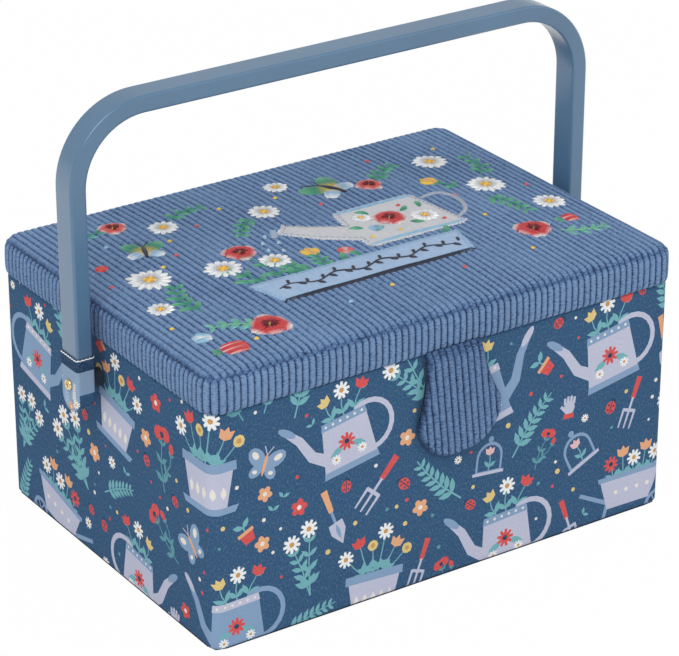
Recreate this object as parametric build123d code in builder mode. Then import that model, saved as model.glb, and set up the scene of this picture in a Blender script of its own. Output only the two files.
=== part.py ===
"""A cloth-covered sewing box with a hinged, padded lid, a swinging arch handle and a lift-out tray.

Origin: the middle of the underside. +X runs to the right along the front, +Y to the hinge side, +Z up.
Every size is in millimetres.
"""

from build123d import *
import math
import os

os.makedirs("parts", exist_ok=True)

# The box, outside its printed cloth
box_length = 260.0
box_depth = 190.0
box_height = 120.7
box_corner = 5.5

# The layers of a wall, from outside to inside
cloth_thickness = 1.6
board_thickness = 3.0
lining_thickness = 2.8
turned_cloth = 0.6

# The base
base_cover_thickness = 1.6
base_cover_inset = 0.4
floor_pad = 2.0

# The lid
lid_gap = 0.3
lid_overhang = 0.8
lid_corner = 8.5
rim_height = 16.0
corduroy_thickness = 1.8
lid_board_thickness = 3.0
rim_board_thickness = 3.0
pad_edge = 1.2
lid_crown = 5.0
lid_lining_thickness = 1.8
rim_lining_thickness = 0.8

# The cloth pieces sewn on the lid's top
applique_thickness = 0.5
applique_gap = 0.1
planter_width = 118.0
planter_height = 22.0
planter_flare = 5.0
planter_x = -8.0
planter_y = -50.0
can_width = 56.0
can_height = 42.0
can_flare = 5.0
can_x = 34.0
can_y = -22.0
spout_reach = 34.0
spout_rise = 32.0
spout_width = 9.0

# The pocket and the pincushion inside the lid
pocket_length = 130.0
pocket_depth = 66.0
pocket_edge = 1.6
pocket_crown = 2.6
pocket_x = -44.0
pocket_y = 40.0
elastic_width = 5.0
elastic_thickness = 1.8
elastic_cover = 0.3
cushion_length = 66.0
cushion_width = 56.0
cushion_edge = 2.0
cushion_crown = 4.6
cushion_x = 74.0
cushion_y = 10.0
cushion_corner = 10.0

# The closing tab, which leans a little as a soft tab does
tab_length = 54.5
tab_neck = 31.0
tab_widest = 47.0
tab_widest_drop = 33.0
tab_x = 0.5
tab_lean = 6.0
tab_back_gap = 0.5
tab_lining_thickness = 0.7
tab_core_thickness = 1.2
tab_core_inset = 2.5
tab_gap = 0.3

# The magnetic catch
magnet_radius = 7.0
magnet_clearance = 0.1
plate_thickness = 1.6
magnet_drop = 33.0

# The handle
handle_y = 2.0
handle_side_gap = 7.5
handle_reach = 136.0
handle_thickness = 8.5
handle_depth = 14.5
handle_bend = 40.0
handle_edge = 2.4
leg_below_pivot = 13.0
pivot_drop = 18.7

# The cloth sleeves on the handle's ends
sleeve_thickness = 0.6
sleeve_fit = 0.05
sleeve_height = 28.0

# The rivets and spacers that the handle turns on
rivet_radius = 2.0
rivet_clearance = 0.1
rivet_head_radius = 3.0
rivet_head_height = 1.5
rivet_tail_radius = 5.0
rivet_tail_thickness = 1.2
tail_clearance = 0.3
spacer_radius = 4.6
side_clearance = 0.3
cloth_hole_clearance = 0.4

# The cloth hinge
hinge_cloth_thickness = 0.5
hinge_cloth_height = 14.0
hinge_cloth_margin = 12.0

# The ribbons that stop the lid
ribbon_width = 9.0
ribbon_thickness = 0.4
ribbon_layers = 8
ribbon_from_hinge = 34.0
ribbon_pack_length = 36.0
ribbon_drop = 5.5

# The tray
tray_depth = 28.0
tray_wall = 1.6
tray_gap = 0.8
tray_seat_gap = 0.3
tray_lip_thickness = 1.8
tray_lip_clearance = 1.0
tray_lip_drop = 6.4
tray_corner = 7.0
tray_pocket_corner = 3.0
tray_row_split = 0.44
front_pockets = 2
back_pockets = 4

# Worked out: the faces of a wall's layers
half_length = box_length / 2
half_depth = box_depth / 2
board_out_x = half_length - cloth_thickness
board_out_y = half_depth - cloth_thickness
board_in_x = board_out_x - board_thickness
board_in_y = board_out_y - board_thickness
lining_in_x = board_in_x - lining_thickness
lining_in_y = board_in_y - lining_thickness
board_corner = 0.9 * board_thickness
board_top = box_height - cloth_thickness
base_top = base_cover_thickness + board_thickness
floor_top = base_top + floor_pad
lining_top = box_height - tray_lip_drop - tray_lip_thickness - tray_seat_gap

# Worked out: the lid's levels and outlines
lid_bottom = box_height + lid_gap
seam_height = lid_bottom + rim_height
pad_top_edge = seam_height - corduroy_thickness
lid_board_top = pad_top_edge - pad_edge
lid_board_bottom = lid_board_top - lid_board_thickness
lid_lining_bottom = lid_board_bottom - lid_lining_thickness
frame_bottom = lid_bottom + turned_cloth
lid_half_x = half_length + lid_overhang
lid_half_y = half_depth + lid_overhang
frame_out_x = lid_half_x - corduroy_thickness
frame_out_y = lid_half_y - corduroy_thickness
frame_in_x = frame_out_x - rim_board_thickness
frame_in_y = frame_out_y - rim_board_thickness
frame_corner = lid_corner - corduroy_thickness
frame_in_corner = max(frame_corner - rim_board_thickness, 0.5)
lining_in_corner = max(frame_in_corner - rim_lining_thickness, 0.4)

# Worked out: the tab, and the catch plate that lies behind its magnet
lean = math.radians(tab_lean)
tab_root = lid_bottom - tab_gap
tab_back = half_depth + tab_back_gap
tab_core_back = tab_back + tab_lining_thickness
tab_front_back = tab_core_back + tab_core_thickness
catch_x = tab_x + math.sin(lean) * magnet_drop
catch_z = tab_root - math.cos(lean) * magnet_drop

# Worked out: the handle
pivot_height = box_height - pivot_drop
handle_rise = pivot_height + handle_reach
leg_in = half_length + handle_side_gap
leg_out = leg_in + handle_thickness
leg_middle = leg_in + handle_thickness / 2
leg_end_radius = handle_depth / 2
leg_bottom = pivot_height - leg_below_pivot
bend_middle = handle_bend - handle_thickness / 2
bar_middle = handle_rise - handle_thickness / 2
sleeve_out = leg_out + sleeve_thickness
sleeve_in = leg_in - sleeve_thickness
bore_radius = rivet_radius + rivet_clearance
tail_back = board_in_x + tail_clearance
tail_face = tail_back + rivet_tail_thickness
recess_depth = rivet_tail_thickness + 2 * tail_clearance


def save(builder, name):
    """Labels a finished piece and writes it under its own name."""
    builder.part.label = name
    export_step(builder.part, f"parts/{name}.step")


def slab(size_x, size_y, low, high, x=0.0, y=0.0, mode=Mode.ADD):
    """A plain board between two levels, inside the part that is being built."""
    with BuildSketch(Plane.XY.offset(low)) as outline:
        with Locations((x, y)):
            Rectangle(size_x, size_y)
    extrude(outline.sketch, amount=high - low, mode=mode)


def rounded_slab(size_x, size_y, corner, low, high, x=0.0, y=0.0, mode=Mode.ADD):
    """A board with round corners between two levels, inside the part that is being built."""
    with BuildSketch(Plane.XY.offset(low)) as outline:
        with Locations((x, y)):
            RectangleRounded(size_x, size_y, corner)
    extrude(outline.sketch, amount=high - low, mode=mode)


def crowned(size_x, size_y, low, edge, crown, x=0.0, y=0.0, mode=Mode.ADD):
    """A block whose top swells from its edges to a crown in the middle. A negative height makes it hang."""
    stations = 5
    sections = []
    for station in range(stations):
        share = 2 * station / (stations - 1) - 1
        swell = crown * (1 - share**2)
        middle = edge + swell + crown * 0.02
        with BuildSketch(Plane.XZ.offset(-(y + share * size_y / 2))) as section:
            with BuildLine():
                Line((x - size_x / 2, low), (x + size_x / 2, low))
                Line((x + size_x / 2, low), (x + size_x / 2, edge))
                ThreePointArc((x + size_x / 2, edge), (x, middle), (x - size_x / 2, edge))
                Line((x - size_x / 2, edge), (x - size_x / 2, low))
            make_face()
        sections.append(section.sketch)
    loft(sections, mode=mode)


def pivot_hole(radius, inner, outer, side):
    """A hole through the side at the handle's pivot, from one X to another."""
    with BuildSketch(Plane.YZ.offset(side * inner)) as outline:
        with Locations((handle_y, pivot_height)):
            Circle(radius)
    extrude(outline.sketch, amount=side * (outer - inner), mode=Mode.SUBTRACT)


# The base: a dark cloth-covered card under the box, and the board inside it
with BuildPart() as base_cover:
    rounded_slab(
        box_length - 2 * base_cover_inset,
        box_depth - 2 * base_cover_inset,
        box_corner,
        0.0,
        base_cover_thickness,
    )
save(base_cover, "base_cover")

with BuildPart() as base_board:
    slab(2 * board_in_x, 2 * board_in_y, base_cover_thickness, base_top)
save(base_board, "base_board")

# The front and back boards run the whole length, the side boards stand between them
for name, side in (("wall_front", -1), ("wall_back", 1)):
    with BuildPart() as wall:
        slab(
            2 * board_out_x,
            board_thickness,
            base_cover_thickness,
            board_top,
            y=side * (board_out_y - board_thickness / 2),
        )
        outer_face = wall.faces().sort_by(Axis.Y)[0 if side < 0 else -1]
        fillet(outer_face.edges().filter_by(Axis.Z), board_corner)
        if side < 0:
            with BuildSketch(Plane.XZ.offset(board_out_y)):
                with Locations((catch_x, catch_z)):
                    Circle(magnet_radius + magnet_clearance)
            extrude(amount=-plate_thickness, mode=Mode.SUBTRACT)
    save(wall, name)

for name, side in (("wall_left", -1), ("wall_right", 1)):
    with BuildPart() as wall:
        slab(
            board_thickness,
            2 * board_in_y,
            base_cover_thickness,
            board_top,
            x=side * (board_out_x - board_thickness / 2),
        )
        pivot_hole(bore_radius, board_in_x, board_out_x, side)
        pivot_hole(
            rivet_tail_radius + tail_clearance,
            board_in_x,
            board_in_x + recess_depth,
            side,
        )
    save(wall, name)

# The printed cloth on its wadding wraps the boards, turns over their top and is glued inside
with BuildPart() as outer_cover:
    rounded_slab(box_length, box_depth, box_corner, base_cover_thickness, box_height)
    top_edges = outer_cover.faces().sort_by(Axis.Z)[-1].edges()
    fillet(top_edges, 0.6 * cloth_thickness)
    rounded_slab(
        2 * board_out_x,
        2 * board_out_y,
        board_corner,
        base_cover_thickness,
        board_top,
        mode=Mode.SUBTRACT,
    )
    slab(2 * board_in_x, 2 * board_in_y, board_top, box_height, mode=Mode.SUBTRACT)
    slab(2 * board_in_x, 2 * board_in_y, lining_top, box_height - turned_cloth)
    slab(
        2 * (board_in_x - turned_cloth),
        2 * (board_in_y - turned_cloth),
        lining_top,
        box_height,
        mode=Mode.SUBTRACT,
    )
    for side in (-1, 1):
        pivot_hole(rivet_radius + cloth_hole_clearance, board_out_x, half_length, side)
save(outer_cover, "outer_cover")

# The padded lining: a floor pad, and panels whose tops carry the tray
with BuildPart() as lining_floor:
    slab(2 * board_in_x, 2 * board_in_y, base_top, floor_top)
save(lining_floor, "lining_floor")

for name, side in (("lining_front", -1), ("lining_back", 1)):
    with BuildPart() as panel:
        slab(
            2 * board_in_x,
            lining_thickness,
            floor_top,
            lining_top,
            y=side * (board_in_y - lining_thickness / 2),
        )
    save(panel, name)

for name, side in (("lining_left", -1), ("lining_right", 1)):
    with BuildPart() as panel:
        slab(
            lining_thickness,
            2 * lining_in_y,
            floor_top,
            lining_top,
            x=side * (board_in_x - lining_thickness / 2),
        )
    save(panel, name)

# The steel plate that the tab's magnet holds to, let into the front board
with BuildPart() as catch_plate:
    with BuildSketch(Plane.XZ.offset(board_out_y)):
        with Locations((catch_x, catch_z)):
            Circle(magnet_radius)
    extrude(amount=-plate_thickness)
save(catch_plate, "catch_plate")

# The cloth hinge, glued to the outside of the back
with BuildPart() as hinge_cloth:
    slab(
        box_length - 2 * hinge_cloth_margin,
        hinge_cloth_thickness,
        box_height - hinge_cloth_height,
        box_height,
        y=half_depth + hinge_cloth_thickness / 2,
    )
save(hinge_cloth, "hinge_cloth")

# The stay ribbons: a tail glued inside each side wall and the folded layers beside it
ribbon_out = board_in_x - turned_cloth
ribbon_pack = ribbon_layers * ribbon_thickness
ribbon_back = half_depth + lid_overhang - ribbon_from_hinge
pack_low = box_height - ribbon_width / 8
for name, side in (("stay_ribbon_left", -1), ("stay_ribbon_right", 1)):
    with BuildPart() as ribbon:
        slab(
            ribbon_thickness,
            ribbon_width,
            box_height - ribbon_drop,
            pack_low + ribbon_width / 2,
            x=side * (ribbon_out - ribbon_thickness / 2),
            y=ribbon_back - ribbon_pack_length + ribbon_width / 2,
        )
        slab(
            ribbon_pack,
            ribbon_pack_length,
            pack_low,
            pack_low + ribbon_width,
            x=side * (ribbon_out - ribbon_thickness - ribbon_pack / 2),
            y=ribbon_back - ribbon_pack_length / 2,
        )
    save(ribbon, name)

# The rivets: a domed head outside the handle, a shank, and a tail let into the side board
dome_radius = (rivet_head_radius**2 + rivet_head_height**2) / (2 * rivet_head_height)
dome_angle = math.asin(rivet_head_radius / dome_radius)
for name, side in (("rivet_left", -1), ("rivet_right", 1)):
    head_face = sleeve_out + rivet_clearance
    with BuildPart() as rivet:
        with BuildSketch(Plane.XZ.offset(-handle_y)):
            with BuildLine():
                dome_base = (side * head_face, pivot_height + rivet_head_radius)
                dome_tip = (side * (head_face + rivet_head_height), pivot_height)
                dome_knee = (
                    side * (head_face + rivet_head_height - dome_radius * (1 - math.cos(dome_angle / 2))),
                    pivot_height + dome_radius * math.sin(dome_angle / 2),
                )
                Polyline(
                    (side * tail_back, pivot_height),
                    (side * tail_back, pivot_height + rivet_tail_radius),
                    (side * tail_face, pivot_height + rivet_tail_radius),
                    (side * tail_face, pivot_height + rivet_radius),
                    (side * head_face, pivot_height + rivet_radius),
                    dome_base,
                )
                ThreePointArc(dome_base, dome_knee, dome_tip)
                Line(dome_tip, (side * tail_back, pivot_height))
            make_face()
        revolve(axis=Axis((0, handle_y, pivot_height), (1, 0, 0)))
    save(rivet, name)

# The spacers that hold the handle off the side
for name, side in (("spacer_left", -1), ("spacer_right", 1)):
    inner = half_length + side_clearance
    outer = sleeve_in - side_clearance
    with BuildPart() as spacer:
        with BuildSketch(Plane.YZ.offset(side * inner)):
            with Locations((handle_y, pivot_height)):
                Circle(spacer_radius)
                Circle(rivet_radius, mode=Mode.SUBTRACT)
        extrude(amount=side * (outer - inner))
    save(spacer, name)

# The arch handle: one moulding with round leg ends
with BuildPart() as handle_arch:
    with BuildLine() as arch_line:
        leg_start = leg_bottom + leg_end_radius
        FilletPolyline(
            (-leg_middle, handle_y, leg_start),
            (-leg_middle, handle_y, bar_middle),
            (leg_middle, handle_y, bar_middle),
            (leg_middle, handle_y, leg_start),
            radius=bend_middle,
        )
    with BuildSketch(Plane((-leg_middle, handle_y, leg_start), x_dir=(1, 0, 0), z_dir=(0, 0, 1))):
        RectangleRounded(handle_thickness, handle_depth, handle_edge)
    sweep(path=arch_line.line)
    for side in (-1, 1):
        with BuildSketch(Plane.YZ.offset(side * leg_in)):
            with Locations((handle_y, leg_start)):
                Circle(leg_end_radius)
        extrude(amount=side * handle_thickness)
        pivot_hole(bore_radius, leg_in, leg_out, side)
save(handle_arch, "handle_arch")

# The cloth sleeves glued round the handle's ends
for name, side in (("handle_sleeve_left", -1), ("handle_sleeve_right", 1)):
    sleeve_top = leg_bottom + sleeve_height
    end_centre = leg_bottom + leg_end_radius
    with BuildPart() as sleeve:
        for outset, inner, outer, mode in (
            (sleeve_thickness, sleeve_in, sleeve_out, Mode.ADD),
            (sleeve_fit, leg_in - sleeve_fit, leg_out + sleeve_fit, Mode.SUBTRACT),
        ):
            reach = leg_end_radius + outset
            with BuildSketch(Plane.YZ.offset(side * inner)):
                with Locations((handle_y, end_centre)):
                    Circle(reach)
                with Locations((handle_y, (end_centre + sleeve_top) / 2)):
                    Rectangle(2 * reach, sleeve_top - end_centre)
            extrude(amount=side * (outer - inner), mode=mode)
        pivot_hole(rivet_radius + cloth_hole_clearance, sleeve_in, sleeve_out, side)
    save(sleeve, name)

# The lift-out tray: one moulding whose lip rests on the lining panels
tray_half_x = lining_in_x - tray_gap
tray_half_y = lining_in_y - tray_gap
lip_half_x = board_in_x - turned_cloth - tray_lip_clearance
lip_half_y = board_in_y - turned_cloth - tray_lip_clearance
lip_bottom = lining_top + tray_seat_gap
lip_top = lip_bottom + tray_lip_thickness
tray_bottom = lip_top - tray_depth
tray_inner_x = 2 * (tray_half_x - tray_wall)
tray_inner_y = 2 * (tray_half_y - tray_wall)
front_row = (tray_inner_y - tray_wall) * tray_row_split
back_row = tray_inner_y - tray_wall - front_row
with BuildPart() as sewing_tray:
    rounded_slab(2 * tray_half_x, 2 * tray_half_y, tray_corner, tray_bottom, lip_top)
    rounded_slab(2 * lip_half_x, 2 * lip_half_y, tray_corner, lip_bottom, lip_top)
    for count, row, row_y in (
        (front_pockets, front_row, -tray_inner_y / 2 + front_row / 2),
        (back_pockets, back_row, tray_inner_y / 2 - back_row / 2),
    ):
        pocket = (tray_inner_x - (count - 1) * tray_wall) / count
        with BuildSketch(Plane.XY.offset(tray_bottom + tray_wall)):
            with Locations((0, row_y)):
                with GridLocations(pocket + tray_wall, row, count, 1):
                    RectangleRounded(pocket, row, tray_pocket_corner)
        extrude(amount=tray_depth, mode=Mode.SUBTRACT)
save(sewing_tray, "sewing_tray")

# The lid's board, and the card strip bent round under its edge
with BuildPart() as lid_board:
    rounded_slab(2 * frame_out_x, 2 * frame_out_y, frame_corner, lid_board_bottom, lid_board_top)
save(lid_board, "lid_board")

with BuildPart() as lid_rim_frame:
    rounded_slab(2 * frame_out_x, 2 * frame_out_y, frame_corner, frame_bottom, lid_board_bottom)
    rounded_slab(
        2 * frame_in_x,
        2 * frame_in_y,
        frame_in_corner,
        frame_bottom,
        lid_board_bottom,
        mode=Mode.SUBTRACT,
    )
save(lid_rim_frame, "lid_rim_frame")

# The foam on the board, and the corduroy over it
with BuildPart() as lid_padding:
    crowned(2 * lid_half_x, 2 * lid_half_y, lid_board_top, pad_top_edge, lid_crown)
    rounded_slab(
        2 * frame_out_x,
        2 * frame_out_y,
        frame_corner,
        lid_board_top,
        seam_height + lid_crown,
        mode=Mode.INTERSECT,
    )
save(lid_padding, "lid_padding")

with BuildPart() as lid_top_cover:
    crowned(2 * lid_half_x, 2 * lid_half_y, lid_board_top, seam_height, lid_crown)
    crowned(
        2 * lid_half_x,
        2 * lid_half_y,
        lid_board_top - pad_edge,
        pad_top_edge,
        lid_crown,
        mode=Mode.SUBTRACT,
    )
    rounded_slab(
        2 * lid_half_x,
        2 * lid_half_y,
        lid_corner,
        lid_board_top,
        seam_height + 2 * lid_crown,
        mode=Mode.INTERSECT,
    )
save(lid_top_cover, "lid_top_cover")

# The corduroy band round the rim, turned under the card strip
with BuildPart() as lid_rim_band:
    rounded_slab(2 * lid_half_x, 2 * lid_half_y, lid_corner, lid_bottom, pad_top_edge)
    bottom_edges = lid_rim_band.faces().sort_by(Axis.Z)[0].edges()
    fillet(bottom_edges, 0.5 * corduroy_thickness)
    rounded_slab(
        2 * frame_out_x,
        2 * frame_out_y,
        frame_corner,
        frame_bottom,
        pad_top_edge,
        mode=Mode.SUBTRACT,
    )
    rounded_slab(
        2 * frame_in_x,
        2 * frame_in_y,
        frame_in_corner,
        lid_bottom,
        frame_bottom,
        mode=Mode.SUBTRACT,
    )
save(lid_rim_band, "lid_rim_band")


def lid_patch(corners):
    """A thin piece of cloth that lies on the lid's crown, cut to an outline of straight edges."""
    crowned(
        2 * lid_half_x,
        2 * lid_half_y,
        lid_board_top,
        seam_height + applique_gap + applique_thickness,
        lid_crown,
    )
    crowned(
        2 * lid_half_x,
        2 * lid_half_y,
        lid_board_top - pad_edge,
        seam_height + applique_gap,
        lid_crown,
        mode=Mode.SUBTRACT,
    )
    with BuildSketch(Plane.XY.offset(lid_board_top)) as outline:
        with BuildLine():
            Polyline(*corners, close=True)
        make_face()
    extrude(outline.sketch, amount=rim_height + lid_crown, mode=Mode.INTERSECT)


# The two cloth pieces sewn on the lid: a planter and a watering can
with BuildPart() as applique_planter:
    planter_half = planter_width / 2
    lid_patch(
        (
            (planter_x - planter_half, planter_y + planter_height),
            (planter_x + planter_half, planter_y + planter_height),
            (planter_x + planter_half - planter_flare, planter_y),
            (planter_x - planter_half + planter_flare, planter_y),
        )
    )
save(applique_planter, "applique_planter")

with BuildPart() as applique_can:
    can_left = can_x - can_width / 2
    can_right = can_x + can_width / 2
    lid_patch(
        (
            (can_left + can_flare, can_y + can_height),
            (can_right - can_flare, can_y + can_height),
            (can_right, can_y),
            (can_left, can_y),
            (can_left, can_y + spout_width),
            (can_left - spout_reach, can_y + spout_rise),
            (can_left - spout_reach + spout_width, can_y + spout_rise + spout_width),
            (can_left + can_flare / 2, can_y + can_height / 2 + spout_width / 2),
        )
    )
save(applique_can, "applique_can")

# The lining inside the lid
with BuildPart() as lid_lining:
    rounded_slab(2 * frame_in_x, 2 * frame_in_y, frame_in_corner, lid_lining_bottom, lid_board_bottom)
save(lid_lining, "lid_lining")

with BuildPart() as lid_rim_lining:
    rounded_slab(2 * frame_in_x, 2 * frame_in_y, frame_in_corner, frame_bottom, lid_lining_bottom)
    rounded_slab(
        2 * (frame_in_x - rim_lining_thickness),
        2 * (frame_in_y - rim_lining_thickness),
        lining_in_corner,
        frame_bottom,
        lid_lining_bottom,
        mode=Mode.SUBTRACT,
    )
save(lid_rim_lining, "lid_rim_lining")

# The gathered pocket, sewn to the lining on three sides, with its elastic edge towards the lid's front
with BuildPart() as lid_pocket:
    crowned(
        pocket_length,
        pocket_depth,
        lid_lining_bottom,
        lid_lining_bottom - pocket_edge,
        -pocket_crown,
        x=pocket_x,
        y=pocket_y,
    )
save(lid_pocket, "lid_pocket")

with BuildPart() as pocket_elastic:
    slab(
        pocket_length,
        elastic_width,
        lid_lining_bottom - elastic_thickness - elastic_cover,
        lid_lining_bottom,
        x=pocket_x,
        y=pocket_y - pocket_depth / 2 - elastic_width / 2,
    )
save(pocket_elastic, "pocket_elastic")

# The pincushion inside the lid: its underside swells to a crown, part of a large ball
with BuildPart() as pincushion:
    cushion_low = lid_lining_bottom - cushion_edge - cushion_crown
    reach_x = cushion_length / 2 - cushion_corner
    reach_y = cushion_width / 2 - cushion_corner
    cushion_reach = math.hypot(reach_x, reach_y) + cushion_corner
    ball_radius = (cushion_reach**2 + cushion_crown**2) / (2 * cushion_crown)
    rounded_slab(
        cushion_length,
        cushion_width,
        cushion_corner,
        cushion_low,
        lid_lining_bottom,
        x=cushion_x,
        y=cushion_y,
    )
    with Locations((cushion_x, cushion_y, cushion_low + ball_radius)):
        Sphere(ball_radius, mode=Mode.INTERSECT)
save(pincushion, "pincushion")


def tab_plane(distance):
    """The plane that one layer of the tab starts from, facing forwards."""
    return Plane(
        origin=(tab_x, -distance, tab_root),
        x_dir=(math.cos(lean), 0, math.sin(lean)),
        z_dir=(0, -1, 0),
    )


def tab_layer(distance, thickness, inset):
    """One layer of the tab: a neck at the rim, a belly below it and a round end, cut level at its root.

    The tab hangs from under the rim's front edge and leans a little to the right.
    """
    neck = tab_neck / 2 - inset
    belly = tab_widest / 2 - inset
    end = -tab_length + inset
    root = tab_neck * math.sin(lean)
    shoulder = neck + 0.35 * (belly - neck)
    shoulder_drop = -0.55 * tab_widest_drop
    knee = 0.72 * belly
    knee_drop = end + 0.21 * belly
    with BuildSketch(tab_plane(distance)) as outline:
        with BuildLine():
            Line((-neck, root), (neck, root))
            ThreePointArc((neck, root), (shoulder, shoulder_drop), (belly, -tab_widest_drop))
            ThreePointArc((belly, -tab_widest_drop), (knee, knee_drop), (0, end))
            ThreePointArc((0, end), (-knee, knee_drop), (-belly, -tab_widest_drop))
            ThreePointArc((-belly, -tab_widest_drop), (-shoulder, shoulder_drop), (-neck, root))
        make_face()
    extrude(outline.sketch, amount=thickness)
    slab(
        2 * tab_widest,
        4 * thickness,
        tab_root - inset,
        tab_root + tab_neck,
        x=tab_x,
        y=-distance,
        mode=Mode.SUBTRACT,
    )


def magnet_disc(radius, mode=Mode.ADD):
    """The round of the tab's magnet, through the core's thickness."""
    with BuildSketch(tab_plane(tab_core_back)) as outline:
        with Locations((0, -magnet_drop)):
            Circle(radius)
    extrude(outline.sketch, amount=tab_core_thickness, mode=mode)


with BuildPart() as tab_lining:
    tab_layer(tab_back, tab_lining_thickness, 0.0)
save(tab_lining, "tab_lining")

with BuildPart() as tab_core:
    tab_layer(tab_core_back, tab_core_thickness, tab_core_inset)
    magnet_disc(magnet_radius + magnet_clearance, mode=Mode.SUBTRACT)
save(tab_core, "tab_core")

with BuildPart() as tab_magnet:
    magnet_disc(magnet_radius)
save(tab_magnet, "tab_magnet")

with BuildPart() as tab_cover:
    tab_layer(tab_front_back, corduroy_thickness, 0.0)
save(tab_cover, "tab_cover")
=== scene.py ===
"""A cloth-covered sewing box: printed walls, corduroy lid and tab, moulded handle, linings and a tray.

Lengths are in metres in the box's own frame: the origin is the middle of its underside, +X runs to the right
along the front, +Y to the hinge side and +Z up. Flat patterns are drawn in millimetres.
"""

import logging
import math
import random
from collections.abc import Callable, Iterable, Iterator, Sequence
from contextlib import contextmanager
from dataclasses import dataclass, field
from enum import Enum

import bpy
import numpy as np
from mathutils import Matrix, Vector
from mathutils.geometry import delaunay_2d_cdt


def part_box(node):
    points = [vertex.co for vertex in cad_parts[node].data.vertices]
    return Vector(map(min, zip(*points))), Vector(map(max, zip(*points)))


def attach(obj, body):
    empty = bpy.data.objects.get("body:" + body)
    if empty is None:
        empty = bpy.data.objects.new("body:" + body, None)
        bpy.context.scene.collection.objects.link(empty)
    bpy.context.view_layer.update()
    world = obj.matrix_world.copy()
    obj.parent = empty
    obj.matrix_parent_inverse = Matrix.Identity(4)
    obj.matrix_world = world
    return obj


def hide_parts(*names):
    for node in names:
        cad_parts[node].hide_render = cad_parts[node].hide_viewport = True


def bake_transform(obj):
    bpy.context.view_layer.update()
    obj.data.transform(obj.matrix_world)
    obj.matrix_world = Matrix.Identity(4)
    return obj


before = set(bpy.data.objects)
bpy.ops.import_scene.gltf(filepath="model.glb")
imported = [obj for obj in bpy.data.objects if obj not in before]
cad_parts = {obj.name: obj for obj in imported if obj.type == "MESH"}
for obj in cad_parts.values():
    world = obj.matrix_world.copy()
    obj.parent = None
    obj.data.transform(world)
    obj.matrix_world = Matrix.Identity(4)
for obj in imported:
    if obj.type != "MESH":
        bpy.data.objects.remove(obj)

log = logging.getLogger("sewing_box")
MM = 0.001
FULL_TURN = 2 * math.pi
PURE_WHITE = (1, 1, 1, 1)

Array = np.ndarray
Piece = bpy.types.Object
Colour = tuple[float, float, float, float]
Point = tuple[float, float]
Outline = list[Point]
Surface = Callable[[Array, Array], Array]


class Ink(Enum):
    """The colours of the printed cloth and of the sewing threads, as they look in daylight."""

    NAVY = (52, 90, 126)
    DEEP_NAVY = (38, 66, 98)
    LAVENDER = (202, 203, 222)
    CHAMBRAY = (140, 168, 200)
    PALE_BLUE = (176, 200, 224)
    TEAL = (98, 160, 168)
    PALE_TEAL = (122, 184, 190)
    CREAM = (246, 238, 226)
    WHITE = (250, 250, 248)
    GOLD = (236, 208, 134)
    TAN = (214, 160, 92)
    CORAL = (226, 86, 80)
    PEACH = (242, 178, 130)
    BLUSH = (242, 196, 196)
    RED = (214, 52, 54)
    DARK_RED = (120, 26, 38)
    EMERALD = (28, 138, 110)
    MINT = (108, 190, 140)
    YELLOW = (248, 202, 66)
    THREAD_BLACK = (40, 44, 62)
    THREAD_GREY = (176, 182, 196)
    SKY = (150, 196, 226)
    MIST = (150, 174, 200)

    @property
    def linear(self) -> Colour:
        """The colour as light values."""
        return shade(*self.value)


def shade(red: int, green: int, blue: int) -> Colour:
    """A screen colour as light values."""
    screen = (red / 255, green / 255, blue / 255)
    light = (value / 12.92 if value <= 0.04045 else ((value + 0.055) / 1.055) ** 2.4 for value in screen)
    return (*light, 1.0)


def lit(colour: Colour, factor: float) -> Colour:
    """A colour made darker or lighter."""
    return (*(min(1.0, factor * channel) for channel in colour[:3]), 1.0)


class Signal:
    """A socket of a finish's nodes that arithmetic can be written on."""

    def __init__(self, recipe: "Recipe", socket: bpy.types.NodeSocket) -> None:
        """Wraps one output socket."""
        self.recipe = recipe
        self.socket = socket

    def _join(self, operation: str, *values: "Signal | float") -> "Signal":
        """A Math node on one or two values."""
        return self.recipe.node("ShaderNodeMath", {"operation": operation}, dict(enumerate(values)))

    def __add__(self, other: "Signal | float") -> "Signal":
        """The sum."""
        return self._join("ADD", self, other)

    __radd__ = __add__

    def __sub__(self, other: "Signal | float") -> "Signal":
        """The difference."""
        return self._join("SUBTRACT", self, other)

    def __rsub__(self, other: "Signal | float") -> "Signal":
        """The difference from a number."""
        return self._join("SUBTRACT", other, self)

    def __mul__(self, other: "Signal | float") -> "Signal":
        """The product."""
        return self._join("MULTIPLY", self, other)

    __rmul__ = __mul__

    def sine(self) -> "Signal":
        """The sine of the value."""
        return self._join("SINE", self)

    def between(self, low: float, high: float) -> "Signal":
        """0 below low, 1 above high and straight between them."""
        sockets = {"Value": self, "From Min": low, "From Max": high}
        return self.recipe.node("ShaderNodeMapRange", {"clamp": True}, sockets)


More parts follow.
